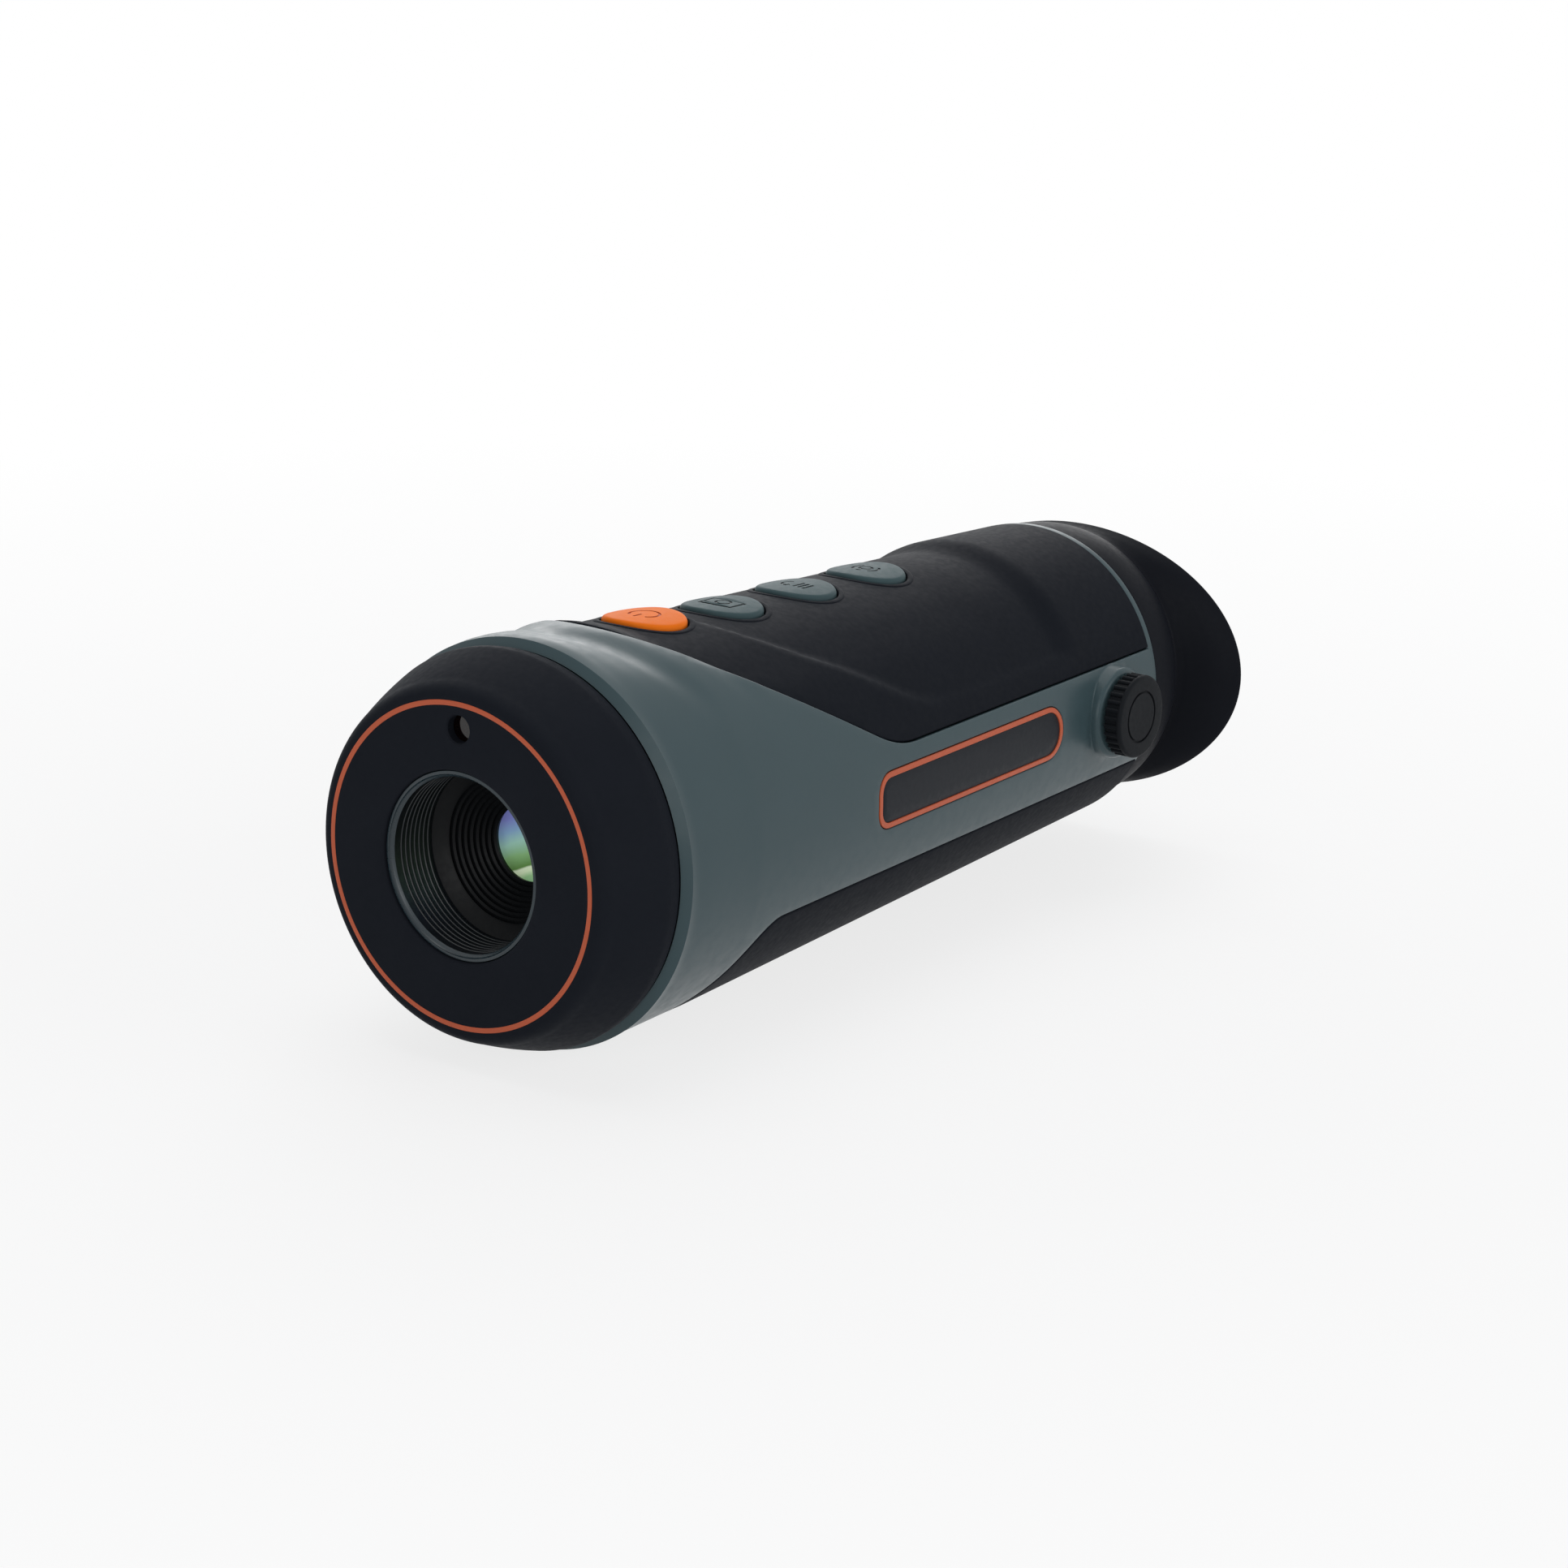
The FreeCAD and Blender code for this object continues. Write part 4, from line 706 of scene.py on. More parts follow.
def makeBoss(shell):
    # boss of the dioptre knob, with a hollow blend at its foot
    radius, rounding = boss["radius"], boss["round"]
    top = boss["face"] - rounding
    rings = [[(mix(math.sqrt(taper(y) ** 2 - z ** 2), top, share), y, z)
              for y, z in bossRing(foot)] for foot, share in boss["blend"]]
    levels = [(radius, top)] + arc((radius - rounding, top), rounding, 0, 90, 5)[1:]
    levels += [(boss["bore"][0], boss["face"]),
               (boss["bore"][1], boss["face"] - boss["boreDepth"])]
    shell.rings(rings + [[(level, y, z) for y, z in bossRing(r)] for r, level in levels])


def makeHousing():
    shell = Shell()
    # rims of the openings, each with its rounded edge
    topRim = edgeStrip(shell, topEdge, -1, housingRadius)
    rightRim = edgeStrip(shell, lowEdge, 1, housingRadius)
    leftRim = edgeStrip(shell, mirrored(lowEdge), 1, housingRadius)
    plateRim = edgeStrip(shell, plateLoop, -1, housingRadius, True, body["plateDepth"],
                         body["plateRound"])
    flapRim = edgeStrip(shell, flapLoop, 1, housingRadius, True, pockets["flapDepth"],
                        body["flapRound"])
    foot = [(math.acos(z / taper(y)) * unroll, y) for y, z in bossRing(boss["blend"][0][0])]
    # the outline runs along the collar, down the seam, and back along the openings
    front, start = body["collar"], rightRim[0][1]
    rear = [(x, body["end"]) for x in np.linspace(
        rightRim[-1][0], topRim[-1][0], body["rearCount"])[1:-1]]
    keel = [(seam, y) for y in np.linspace(front, start, body["keelCount"])[:-1]]
    keel.append((seam, start))
    count = body["collarCount"]
    collar = [(mix(-seam, seam, i / count), front) for i in range(count)]
    outline = (collar + keel + rightRim[1:] + rear + topRim[::-1] + mirrored(rear)
               + leftRim[:-1] + [(-x, y) for x, y in keel[:0:-1]])
    fill(shell, outline, body["spacing"], housingRadius, holes=[plateRim, flapRim, foot])
    # rear end, down to the trim ring
    for ends in ([rightRim[-1]] + rear + [topRim[-1]],
                 [topRim[0]] + mirrored(rear) + [leftRim[0]]):
        shell.rings([lifted(ends, housingRadius),
                     lifted(ends, housingRadius, body["rearDepth"])], False)
    makeBoss(shell)
    # floor of the plate's pocket, and of the port's pocket round the port
    fill(shell, shifted(plateLoop, body["joint"]), floorSpacing, housingRadius, body["plateDepth"])
    fill(shell, shifted(flapLoop, -body["joint"]), portSpacing, housingRadius, pockets["flapDepth"],
         [sideLoop(roundedBox(*pockets["port"]), -1)])
    finishPiece("housing", shell, ["housingGrey"], ["main_housing"],
                wall=body["wall"], sharp=35)


makeHousing()
print("housing made")


# ---- rubber covers

cover = {
    "rimDrop": 0.3, "rimShift": (0.45, 0.1), "shiftFade": (110, 124),  # under the housing
    "frontRise": 0.9, "frontFade": (27.0, 35.0), "frontWidth": (12, 34),
    "gripDrop": 0.8, "gripShift": 0.9,                       # flatter panel for the hand
    "creaseHeight": 11.1, "crease": 1.1, "creaseCorner": 3.0,
    "creaseSlope": (18.2, 34.7), "creasePoint": (45.8, 29.3),
    "rearRamp": (118.5, 125.0), "spacing": 1.15,
    "dip": [(27.0, 0.0), (34.0, 0.45), (50.0, 0.45), (80.0, 0.28), (98.0, 0.25), (112.0, 0.0)],
    "dipEdge": (34, 50), "rearCount": 60,
}
buttonRow = {
    "stations": (41.5, 60.3, 79.1, 97.9), "radius": 6.3, "well": 6.62, "lip": 0.9,
    "lipRise": 0.16, "wellDepth": 2.8, "wellFloor": 5.0, "proud": 0.72, "edgeRound": 0.62,
    "skirt": 1.55, "skirtTaper": 0.4, "iconDepth": 0.16, "dome": 0.08,
    "spacing": 0.55,
}


def lowered(radius, shift, angle):
    # radius about the optical axis of a cylinder whose own axis is lower
    return math.sqrt(radius ** 2 - (shift * math.sin(angle)) ** 2) - shift * math.cos(angle)


def gripShare(station, angle):
    # 1 on the grip panel, 0 on the rim round it, with a soft crease between
    height = taper(station) * math.cos(angle)
    run, rise = cover["creaseSlope"]
    front = ((station - cover["creasePoint"][0]) * run
             + (height - cover["creasePoint"][1]) * rise) / math.hypot(run, rise)
    low = height - cover["creaseHeight"]
    corner = cover["creaseCorner"]
    near = max(corner - abs(front - low), 0.0) / corner
    inside = min(front, low) - near * near * corner / 4
    return smooth(inside, 0, cover["crease"]) * (1 - smooth(station, *cover["rearRamp"]))


def rowDip(station):
    # the cover lies a little lower along the row of buttons
    return curve(cover["dip"], station)


def topCoverRadius(station, angle):
    degrees = abs(math.degrees(angle))
    shift = mix(*cover["rimShift"], smooth(station, *cover["shiftFade"]))
    rim = lowered(taper(station) - cover["rimDrop"], shift, angle)
    rim += cover["frontRise"] * (1 - smooth(station, *cover["frontFade"])) * (
        1 - smooth(degrees, *cover["frontWidth"]))
    grip = lowered(taper(station) - cover["gripDrop"], cover["gripShift"], angle)
    dip = rowDip(station) * (1 - smooth(degrees, *cover["dipEdge"]))
    return mix(rim, grip, gripShare(station, angle)) - dip


def buttonRing(station, radius):
    # a circle in plan, wrapped on the top cover
    ring = []
    for across, along in circle(radius, 72, (0.0, station)):
        angle = 0.0
        for _ in range(4):  # the radius depends a little on the angle itself
            angle = math.asin(across / topCoverRadius(along, angle))
        ring.append((angle * unroll, along))
    return ring


def finishCover(name, node, shell, rim, holes, surface, up=1):
    # the sheet between the rim and the holes, and its rear end
    rear = [(x, body["end"]) for x in np.linspace(
        rim[-1][0], rim[0][0], cover["rearCount"])[1:-1]]
    fill(shell, rim + rear, cover["spacing"], surface, holes=holes, up=up)
    ends = [rim[-1]] + rear + [rim[0]]
    shell.rings([lifted(ends, surface, drop, up) for drop in (0.0, body["edgeDepth"])], False)
    finishPiece(name, shell, ["coverRubber"], [node], wall=body["wall"])


def makeTopCover():
    shell = Shell()
    rim = edgeStrip(shell, topEdge, 1, topCoverRadius)
    well, lip, wells = buttonRow["well"], buttonRow["lip"], []
    for station in buttonRow["stations"]:
        wells.append(buttonRing(station, well + lip))
        rings = []
        for step in range(9):
            turn = math.pi * step / 8
            rings.append(lifted(buttonRing(station, well + lip * (1 + math.cos(turn)) / 2),
                                topCoverRadius, -buttonRow["lipRise"] * math.sin(turn)))
        for radius in (well, buttonRow["wellFloor"]):
            rings.append([(x, y, z - buttonRow["wellDepth"]) for x, y, z in
                          lifted(buttonRing(station, radius), topCoverRadius)])
        shell.rings(rings)
    finishCover("topCover", "top_cover", shell, rim, wells, topCoverRadius)


# a narrow flat along the keel, and a spot face round the brass insert
underside = {"spot": 6.0, "station": 64.0, "level": -27.7, "flat": 0.5, "insert": 4.85,
             "insertDepth": 1.2}


def bottomCoverRadius(station, angle):
    radius = plainRadius(station)
    return min(radius, (radius - underside["flat"]) / max(math.cos(angle), 0.2))


def makeBottomCover():
    shell = Shell()
    line = mirrored(lowHalf)[:-1] + lowHalf
    rim = edgeStrip(shell, line, 1, bottomCoverRadius, up=-1)
    middle, level = (0.0, underside["station"]), underside["level"]
    flat = circle(underside["spot"], 64, middle)
    spot = [(math.asin(across / taper(along)) * unroll, along) for across, along in flat]
    outer = lifted(spot, bottomCoverRadius, up=-1)
    share = underside["insert"] / underside["spot"]
    inner = [(share * x, mix(middle[1], y, share)) for x, y, z in outer]
    shell.rings([outer, [(x, y, level) for x, y, z in outer],
                 [(x, y, level) for x, y in inner],
                 [(x, y, level + underside["insertDepth"]) for x, y in inner]])
    finishCover("bottomCover", "bottom_cover", shell, rim, [spot], bottomCoverRadius, -1)


makeTopCover()
makeBottomCover()
print("covers made")


# ---- bezel and lens recess

bezel = {
    "opening": 13.85, "rounding": 0.35, "ring": (23.1, 23.9), "groove": 0.25,
    # shoulder: three bows, each given by its ends and its middle handle, as (radius, station)
    "bows": (((24.2, 0.0), (25.62, 0.0), (26.35, 2.4)),
             ((26.35, 2.4), (28.1, 6.4), (29.3, 10.5)),
             ((29.3, 10.5), (29.4, 12.3), (28.72, 13.15))),
    "rear": 13.3, "spigot": (27.3, 17.5), "laserHeight": 19.9, "laserHole": 2.0,
    "laserDepth": 1.45, "chamfer": 0.2, "throat": 1.2, "seat": (15.8, 9.0),
}


def makeBezel(opening, rounding, ring, groove, bows, rear, spigot, laserHeight, laserHole,
              laserDepth, chamfer, throat, seat):
    shell, count = Shell(), 180
    inner, outer = ring
    start, laserEdge = opening + rounding, laserHole + chamfer
    corners, faces, _ = patch(circle(inner, count), [
        circle(start, count), circle(laserEdge, 48, (0.0, laserHeight))], 1.6)
    shell.add([(x, 0.0, z) for x, z in corners], faces)
    lip = arc((start, rounding), rounding, -90, -180, 4)
    shell.rings(turned(lip + [(opening, throat), (seat[0], throat), seat], count))
    shell.rings(turned([(inner, 0.0), (inner, groove), (outer, groove), (outer, 0.0)], count))
    shoulder = [(outer, 0.0)]
    for begin, handle, end in bows:
        for t in [i / 15 for i in range(15)]:
            shoulder.append([mix(mix(p, q, t), mix(q, r, t), t)
                             for p, q, r in zip(begin, handle, end)])
    rim = bows[-1][2][0]
    shoulder += [(rim, rear - 0.1), (rim - 0.2, rear), (spigot[0], rear), spigot]
    shell.rings(turned(shoulder, count))
    # hole of the laser window, with a fine chamfer
    shell.rings(turned([(laserEdge, 0.0), (laserHole, chamfer), (laserHole, laserDepth)], 48,
                       (0.0, laserHeight)))
    finishPiece("bezel", shell, ["bezelBlack"], ["front_bezel"], wall=0.8)
    band = Shell()
    half = [(0.03, 0.2), (0.03, 0.02), (0.08, 0.0)]  # inset and station of its section
    section = [(inner + inset, station) for inset, station in half]
    section += [(outer - inset, station) for inset, station in reversed(half)]
    band.rings(turned(section + section[:1], count))
    finishPiece("accentRing", band, ["accentOrange"], ["bezel_ring"])


makeBezel(**bezel)


barrel = {
    "rim": 13.58, "station": 0.6, "rimEnd": (13.22, 0.95), "bore": 13.0, "boreEnd": 9.2,
    "thread": {"Ridges": 7, "Bore radius": 12.9, "Ridge radius": 0.26, "Pitch": 0.95,
               "First station": 2.6},
    "steps": 9, "stepSpan": (10.3, 15.4), "stepRadius": (11.2, 5.8),
}


def makeBarrel(rim, station, rimEnd, bore, boreEnd, thread, steps, stepSpan, stepRadius):
    shell, count = Shell(), 128
    # edge of the barrel inside the opening; its teal colour is a painted glint
    start = (bore, rimEnd[1] + 0.25)
    shell.rings(turned([
        (rim - 0.05, 3.0), (rim, station + 0.25), (rim - 0.08, station + 0.04),
        (rim - 0.2, station), (rimEnd[0] + 0.12, rimEnd[1] - 0.12), rimEnd, start],
        count), slot=1)
    shell.rings(turned([start, (bore, boreEnd)], count))
    profile = [(bore, boreEnd)]
    for i in range(steps):
        front, rear = mix(*stepSpan, i / steps), mix(*stepSpan, (i + 1) / steps)
        radius = mix(*stepRadius, (i + 0.6) / (steps - 0.4))
        profile += [(radius + 0.14, front), (radius, front + 0.12), (radius + 0.16, rear)]
    shell.rings(turned(profile, count), slot=2)
    finishPiece("barrelInside", shell, ["barrelBlack", "paintedRimGlint", "baffleBlack"],
                ["lens_barrel", "baffle_insert"], wall=0.25, sharp=30)
    # the threads are painted lighter than the bore they sit in, as painted highlight
    finishPiece("barrelThread", boreRidges(thread), ["threadBlackPaintedLighter"], sharp=60)


makeBarrel(**barrel)


lens = {"radius": 8.8, "station": 16.4, "rise": 1.7, "edge": 1.2}


def makeLens(radius, station, rise, edge):
    shell, steps = Shell(), 14
    bulge = (radius ** 2 + rise ** 2) / (2 * rise)
    back = station + rise + edge
    profile = [(0.6, back), (radius, back)]
    for i in range(steps):
        out = radius * (1 - i / steps)
        profile.append((out, station + bulge - math.sqrt(bulge ** 2 - out ** 2)))
    rings = turned(profile, 96)
    shell.rings(rings)
    shell.fan(rings[-1], (0.0, station, 0.0))
    shell.fan(rings[0], (0.0, back, 0.0))
    finishPiece("objectiveLens", shell, ["lensCoat"], ["objective_lens"])


makeLens(**lens)
print("front made")


# ---- buttons

def ringLoops(radius, width, middle=(0.0, 0.0)):
    return [circle(r, 40, middle) for r in (radius + width / 2, radius - width / 2)]


def stroke(line, width):
    return shifted(line, width / 2, False) + shifted(line, -width / 2, False)[::-1]


def bow(radius, start, end, middle=(0.0, 0.0)):
    return stroke(arc(middle, radius, start, end, 18), iconLine)


def boxLoop(wide, high):
    return [(-wide, -high), (wide, -high), (wide, high), (-wide, high)]


# icons are drawn across (to the knob's side) and along (to the eye); their top is in front
iconLine = 0.42
icons = {
    "power": [bow(2.25, -50, 230), stroke([(0.0, -2.6), (0.0, -0.7)], iconLine)],
    "capture": [boxLoop(3.1, 2.05), boxLoop(3.1 - iconLine, 2.05 - iconLine)]
    + ringLoops(1.15, iconLine, (0.25, 0.0)) + [
        stroke([(-2.35, -1.15), (-1.55, -1.15)], iconLine)],
    "menu": [bow(1.5, 110, 290, (-0.9, 0.1)),
             stroke([(-0.9, -1.95), (-0.3, -1.35), (-0.9, -0.75)], iconLine * 0.8)]
    + [stroke([(x, -1.5), (x, 1.5)], iconLine) for x in (0.6, 1.45, 2.3)],
    "zoom": ringLoops(1.0, iconLine) + [
        bow(2.1, -50, 50), bow(2.1, 130, 230), stroke([(-0.45, -2.1), (0.45, -2.1)], iconLine)],
}
buttons = [("power", "buttonOrange", "rimDrop", cover["rimShift"][0]),
           ("capture", "buttonGrey", "gripDrop", cover["gripShift"]),
           ("menu", "buttonGrey", "gripDrop", cover["gripShift"]),
           ("zoom", "buttonGrey", "gripDrop", cover["gripShift"])]


def makeButton(name, look, drop, shift, station):
    size, rounding, count = buttonRow["radius"], buttonRow["edgeRound"], 96

    def crown(points, depth=0.0):
        # the cap's top follows the cover below it
        found = []
        for across, along in points:
            level = station + along
            radius = taper(level) - cover[drop] + buttonRow["proud"]
            dish = buttonRow["dome"] * (math.hypot(across, along) / size) ** 2
            top = math.sqrt(radius ** 2 - across ** 2) - shift
            found.append((across, level, top - dish - rowDip(level) - depth))
        return found

    shell = Shell()
    corners, plain, drawn = patch(circle(size - rounding, count), icons[name],
                                  buttonRow["spacing"])
    depth = buttonRow["iconDepth"]
    shell.add(crown(corners), plain)
    shell.add(crown(corners, depth), drawn, 1)
    for loop in icons[name]:
        shell.rings([crown(loop), crown(loop, depth)], slot=1)
    rings = []
    for step in range(7):
        turn = math.radians(90 * step / 6)
        rings.append(crown(circle(size - rounding + rounding * math.sin(turn), count),
                           rounding * (1 - math.cos(turn))))
    low = min(crown([(0, 0)])[0][2] - buttonRow["proud"] - buttonRow["skirt"],
              rings[6][0][2] - 0.1)
    for radius in (size, size - buttonRow["skirtTaper"]):
        rings.append([(x, y, low) for x, y in circle(radius, count, (0.0, station))])
    shell.rings(rings)
    shell.fan(rings[-1], (0.0, station, low))
    finishPiece(name + "Button", shell, [look, look + "Ink"], [name + "_button"],
                name + "_button", sharp=50)


for button, station in zip(buttons, buttonRow["stations"]):
    makeButton(*button, station)
print("buttons made")


# ---- dioptre knob

knob = {
    "station": boss["station"], "back": 27.95, "face": 31.1, "radius": 6.8, "core": 6.38,
    "chamfer": 0.55, "ribEnd": 30.45, "groove": (4.1, 0.34, 0.3),   # radius, width, depth
    "ribs": {"Ribs": 30, "Circle radius": 6.41, "Rib radius": 0.39, "Rib length": 2.35,
             "Middle": 29.27, "Station": 132.4},
}


def makeKnob(station, back, face, radius, core, chamfer, ribEnd, groove, ribs):
    outer, inner = groove[0] + groove[1] / 2, groove[0] - groove[1] / 2
    floor, middle = face - groove[2], face - 0.05
    profile = [(2.6, back), (core - 0.2, back), (core, back + 0.2), (core, ribEnd - 0.12),
               (radius - 0.08, ribEnd - 0.1), (radius, ribEnd),
               (radius, face - chamfer - 0.02)]
    profile += arc((radius - chamfer, face - chamfer), chamfer, 0, 90, 6)
    profile += [(outer + 0.05, face), (outer, face - 0.06), (outer, floor), (inner, floor),
                (inner, face - 0.06), (inner - 0.05, face), (0.4, middle)]
    shell = roundRibs(ribs)
    rings = turned(profile, 120, (station, 0.0), sideways=True)
    shell.rings(rings)
    shell.fan(rings[-1], (middle, station, 0.0))
    finishPiece("dioptreKnob", shell, ["knobBlack"], ["dioptre_knob"], "dioptre", sharp=35)


makeKnob(**knob)


# ---- side plate, port cover and trim ring

# sections as (distance in from the pocket's edge, depth below the housing)
plate = {"rim": [(0.06, 0.7), (0.06, 0.06), (0.16, -0.05), (0.82, -0.05), (0.91, 0.03),
                 (0.91, 0.7), (0.06, 0.7)],
         "edge": [(1.08, 0.10), (0.95, 0.18), (0.95, 0.75)], "spacing": (1.4, 2.0)}


def makePlate(rim, edge, spacing):
    def section(rows):
        return [lifted(shifted(plateLoop, -inset), housingRadius, drop) for inset, drop in rows]

    border = Shell()
    border.rings(section(rim))
    finishPiece("plateRim", border, ["accentOrange"], ["side_plate_rim"], sharp=35)
    sheet = Shell()
    for (inset, drop), size in zip((edge[0], edge[-1]), spacing):
        fill(sheet, shifted(plateLoop, -inset), size, housingRadius, drop)
    sheet.rings(section(edge))
    finishPiece("sidePlate", sheet, ["plateBlack"], ["side_plate"], sharp=35)


makePlate(**plate)


flap = {"gap": 0.3, "rounding": 0.35, "thickness": 1.3, "rise": 0.3, "spacing": 0.9,
        "ribs": (92.4, 93.5, 94.6), "rib": ((-0.3, 0.3), (0.3, 4.1), [0.28] * 4)}


def makePortCover(gap, rounding, thickness, rise, spacing, ribs, rib):
    shell = Shell()
    rim = edgeStrip(shell, flapLoop, -1, housingRadius, True, thickness, rounding, gap, 3)
    (x0, y0), (x1, y1), corners = rib
    grips = [sideLoop(roundedBox((along + x0, y0), (along + x1, y1), corners), -1, 0.4)
             for along in ribs]
    corners, faces, raised = patch(rim, grips, spacing)
    shell.add(lifted(corners, housingRadius), faces)
    shell.add(lifted(corners, housingRadius, -rise), raised)
    for grip in grips:
        shell.rings([lifted(grip, housingRadius), lifted(grip, housingRadius, -rise)])
    fill(shell, shifted(flapLoop, gap), floorSpacing, housingRadius, thickness)
    finishPiece("portCover", shell, ["coverRubber"], ["port_cover"], "port_cover", sharp=35)


makePortCover(**flap)


trim = {"front": 146.05, "rear": 147.7, "radius": 24.8, "bore": 19.7, "rounding": 0.35}


def makeTrim(front, rear, radius, bore, rounding):
    shell, shoulder = Shell(), radius - rounding
    profile = [(bore, front), (shoulder, front)]
    profile += arc((shoulder, front + rounding), rounding, -90, 0, 5)
    profile += arc((shoulder, rear - rounding), rounding, 0, 90, 5)
    shell.rings(turned(profile + [(bore, rear), (bore, front)], 180))
    finishPiece("trimRing", shell, ["housingGrey"], ["trim_ring"])


makeTrim(**trim)
print("controls made")


# ---- eyecup

eyecup = {
    "numbers": {"Front": 148.0, "Length": 16.4, "Half width": 31.4, "Dip": 2.2,
                "Rings": 220, "Sides": 169},
    # section at even steps: station, half width and half height in mm, share of the dip
    "section": [
        (148.00, 19.75, 19.75, 0.0), (148.00, 21.8, 21.8, 0.0), (148.02, 23.7, 23.7, 0.0),
        (148.35, 24.02, 24.02, 0.0), (149.8, 24.20, 24.20, 0.0), (151.8, 24.25, 24.22, 0.0),
        (153.8, 24.10, 24.05, 0.0), (155.3, 23.75, 23.75, 0.02), (156.6, 23.15, 23.40, 0.05),
        (157.6, 22.35, 23.05, 0.10), (158.3, 21.80, 22.80, 0.16), (158.9, 21.75, 22.60, 0.24),
        (159.5, 22.35, 22.45, 0.34), (160.2, 23.7, 22.35, 0.46), (161.1, 25.8, 22.30, 0.60),
        (162.0, 27.9, 22.35, 0.74), (162.9, 29.6, 22.45, 0.86), (163.7, 30.8, 22.60, 0.95),
        (164.15, 31.25, 22.68, 1.0), (164.36, 31.25, 22.60, 1.0), (164.40, 30.85, 22.30, 1.0),
        (164.20, 30.35, 21.90, 1.0), (163.5, 29.5, 21.35, 0.93), (162.4, 27.7, 20.75, 0.80),
        (161.2, 25.3, 20.2, 0.62), (160.0, 22.8, 19.5, 0.42), (158.9, 20.6, 18.6, 0.22),
        (158.0, 18.7, 17.6, 0.08), (157.3, 17.0, 16.6, 0.0), (156.9, 15.8, 15.8, 0.0),
        (156.7, 14.9, 14.9, 0.0), (156.62, 14.75, 14.75, 0.0), (156.6, 16.5, 16.5, 0.0),
        (156.6, 19.2, 19.2, 0.0), (156.3, 19.75, 19.75, 0.0), (152.5, 19.75, 19.75, 0.0),
        (148.00, 19.75, 19.75, 0.0)],
}


def makeEyecup(numbers, section):
    wide = numbers["Half width"]
    rows = [((station - numbers["Front"]) / numbers["Length"], x / wide, z / wide, dip)
            for station, x, z, dip in section]
    finishPiece("eyecupRubber", ovalCup(numbers, rows), ["cupRubber"], ["eyecup"], "eyecup",
                sharp=60)


makeEyecup(**eyecup)
print("eyecup made")


# ---- floor, light and camera

stand = {"floorSize": 6.0, "floorColour": (0.97, 0.97, 0.97),
         "plain": (0.78, 1.0), "plainReach": (0.10, 0.42)}   # share of plain white, near and far


def seenDirectly(tree):
    # 1 for the camera and for what glossy or clear surfaces show
    rays = wire(tree, "ShaderNodeLightPath").node.outputs
    total = rays["Is Camera Ray"]
    for ray in ("Is Glossy Ray", "Is Transmission Ray"):
        total = maths(tree, "MAXIMUM", total, rays[ray])
    return total


def makeFloor(floorSize, floorColour, plain, plainReach):
    mesh = bpy.data.meshes.new("floor")
    half, low = floorSize / 2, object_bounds()[0].z - 0.0002
    mesh.from_pydata([(-half, -half, low), (half, -half, low), (half, half, low),
                      (-half, half, low)], [], [(0, 1, 2, 3)])
    floor = newObject("floor", mesh)
    paint, tree, shader = newMaterial("paleFloor")
    feed(tree, shader, {
        "Base Color": (*floorColour, 1), "Roughness": 0.9, "Specular IOR Level": 0.0})
    coords = wire(tree, "ShaderNodeTexCoord", output="Object")
    fade = wire(tree, "ShaderNodeMapRange", {
        "Value": wire(tree, "ShaderNodeVectorMath", {0: coords}, "Value", operation="LENGTH"),
        "From Min": plainReach[0], "From Max": plainReach[1],
        "To Min": plain[0], "To Max": plain[1]})
    feed(tree, tree.nodes["Material Output"], {"Surface": wire(
        tree, "ShaderNodeMixShader", {
            "Fac": maths(tree, "MULTIPLY", seenDirectly(tree), fade),
            1: shader.outputs[0], 2: wire(tree, "ShaderNodeEmission", {"Strength": 1.0})})})
    mesh.materials.append(paint)
    floor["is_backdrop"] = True


sky = {"colour": (0.92, 0.95, 1.0), "strength": 0.22}


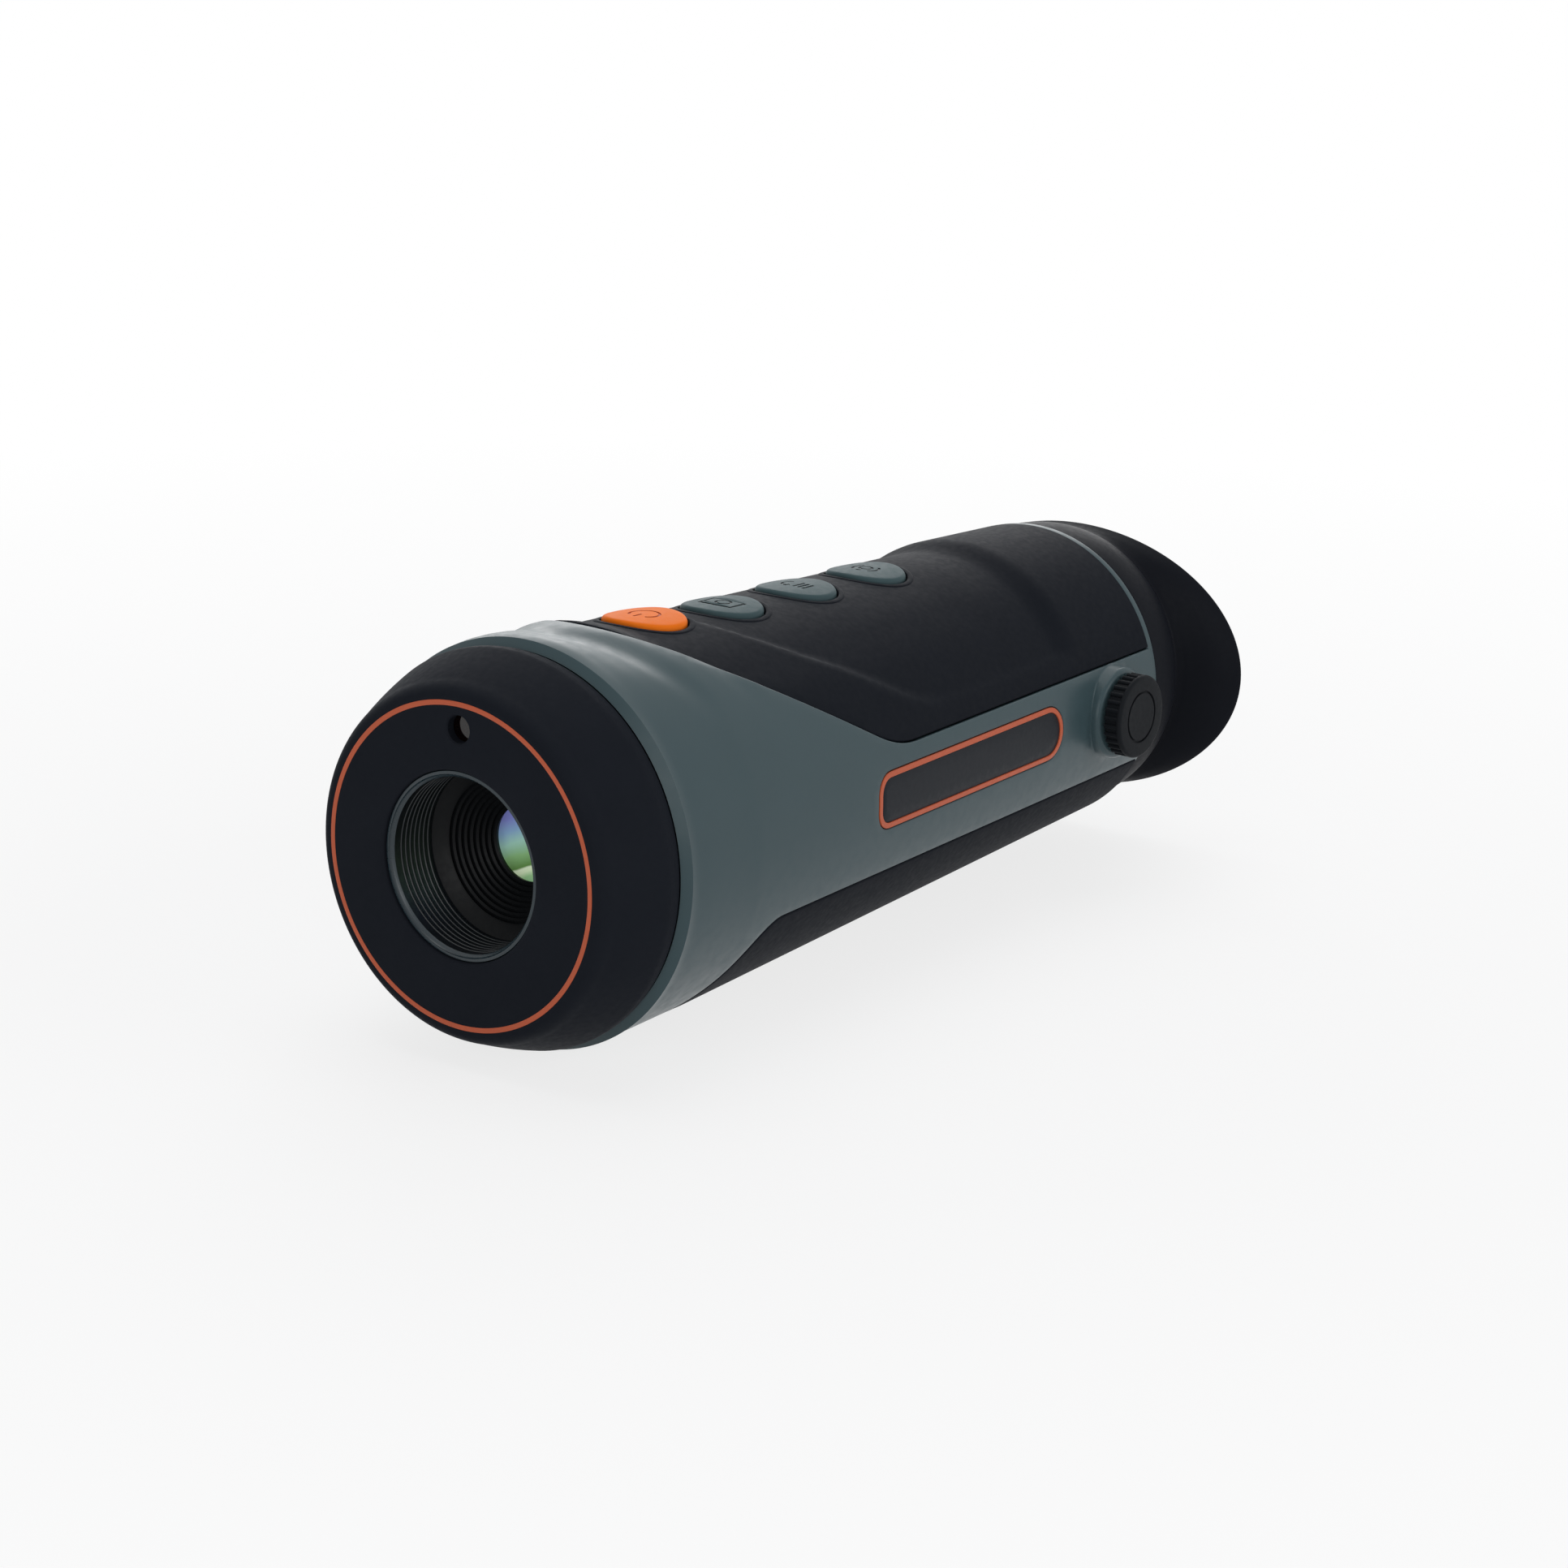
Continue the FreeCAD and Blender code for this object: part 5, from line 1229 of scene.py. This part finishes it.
def makeSky(colour, strength):
    world = bpy.data.worlds.new("studio")
    bpy.context.scene.world = world
    world.use_nodes = True
    tree = world.node_tree
    soft = tree.nodes["Background"]
    feed(tree, soft, {"Color": (*colour, 1), "Strength": strength})
    white = wire(tree, "ShaderNodeBackground", {"Color": (1, 1, 1, 1), "Strength": 1.0})
    feed(tree, tree.nodes["World Output"], {"Surface": wire(
        tree, "ShaderNodeMixShader", {
            "Fac": seenDirectly(tree), 1: soft.outputs[0], 2: white})})


# place and aim in m, size in m, power in W
lamps = {
    "topBox": ((-0.15, 0.15, 0.95), (0.0, 0.02, 0.0), (0.9, 0.9), 3.7),
    "frontBox": ((0.45, -0.95, 0.30), (0.0, 0.0, 0.02), (0.7, 0.7), 3.2),
    "sideBox": ((1.05, 0.30, 0.25), (0.0, 0.0, 0.02), (0.6, 0.9), 3.6),
    "backBox": ((-0.60, 0.90, 0.50), (0.0, 0.0, 0.02), (0.8, 0.8), 3.5),
}


def makeLamps():
    for name, (spot, aim, size, power) in lamps.items():
        light = bpy.data.lights.new(name, "AREA")
        light.shape, light.energy = "RECTANGLE", power
        light.size, light.size_y = size
        box = newObject(name, light)
        box.location = spot
        box.rotation_euler = (Vector(aim) - Vector(spot)).to_track_quat("-Z", "Y").to_euler()


view = {"azimuth": 35.771, "elevation": 16.073, "roll": 1.246, "lens": 88.24,
        "spot": (0.33506, -0.45191, 0.18795)}


def makeCamera(azimuth, elevation, roll, lens, spot):
    data = bpy.data.cameras.new("camera")
    data.lens, data.sensor_width = lens, 36.0
    data.clip_start, data.clip_end = 0.01, 20.0
    camera = newObject("camera", data)
    bpy.context.scene.camera = camera
    turn, rise, lean = (math.radians(angle) for angle in (azimuth, elevation, roll))
    back = Vector((math.sin(turn) * math.cos(rise), -math.cos(turn) * math.cos(rise),
                   math.sin(rise)))
    right = Vector((math.cos(turn), math.sin(turn), 0))
    up = back.cross(right)
    across = math.cos(lean) * right + math.sin(lean) * up
    upward = math.cos(lean) * up - math.sin(lean) * right
    camera.matrix_world = Matrix.Translation(spot) @ Matrix(
        (across, upward, back)).transposed().to_4x4()


makeFloor(**stand)
makeSky(**sky)
makeLamps()
makeCamera(**view)
bpy.context.scene.view_settings.view_transform = "Standard"
print("studio made")
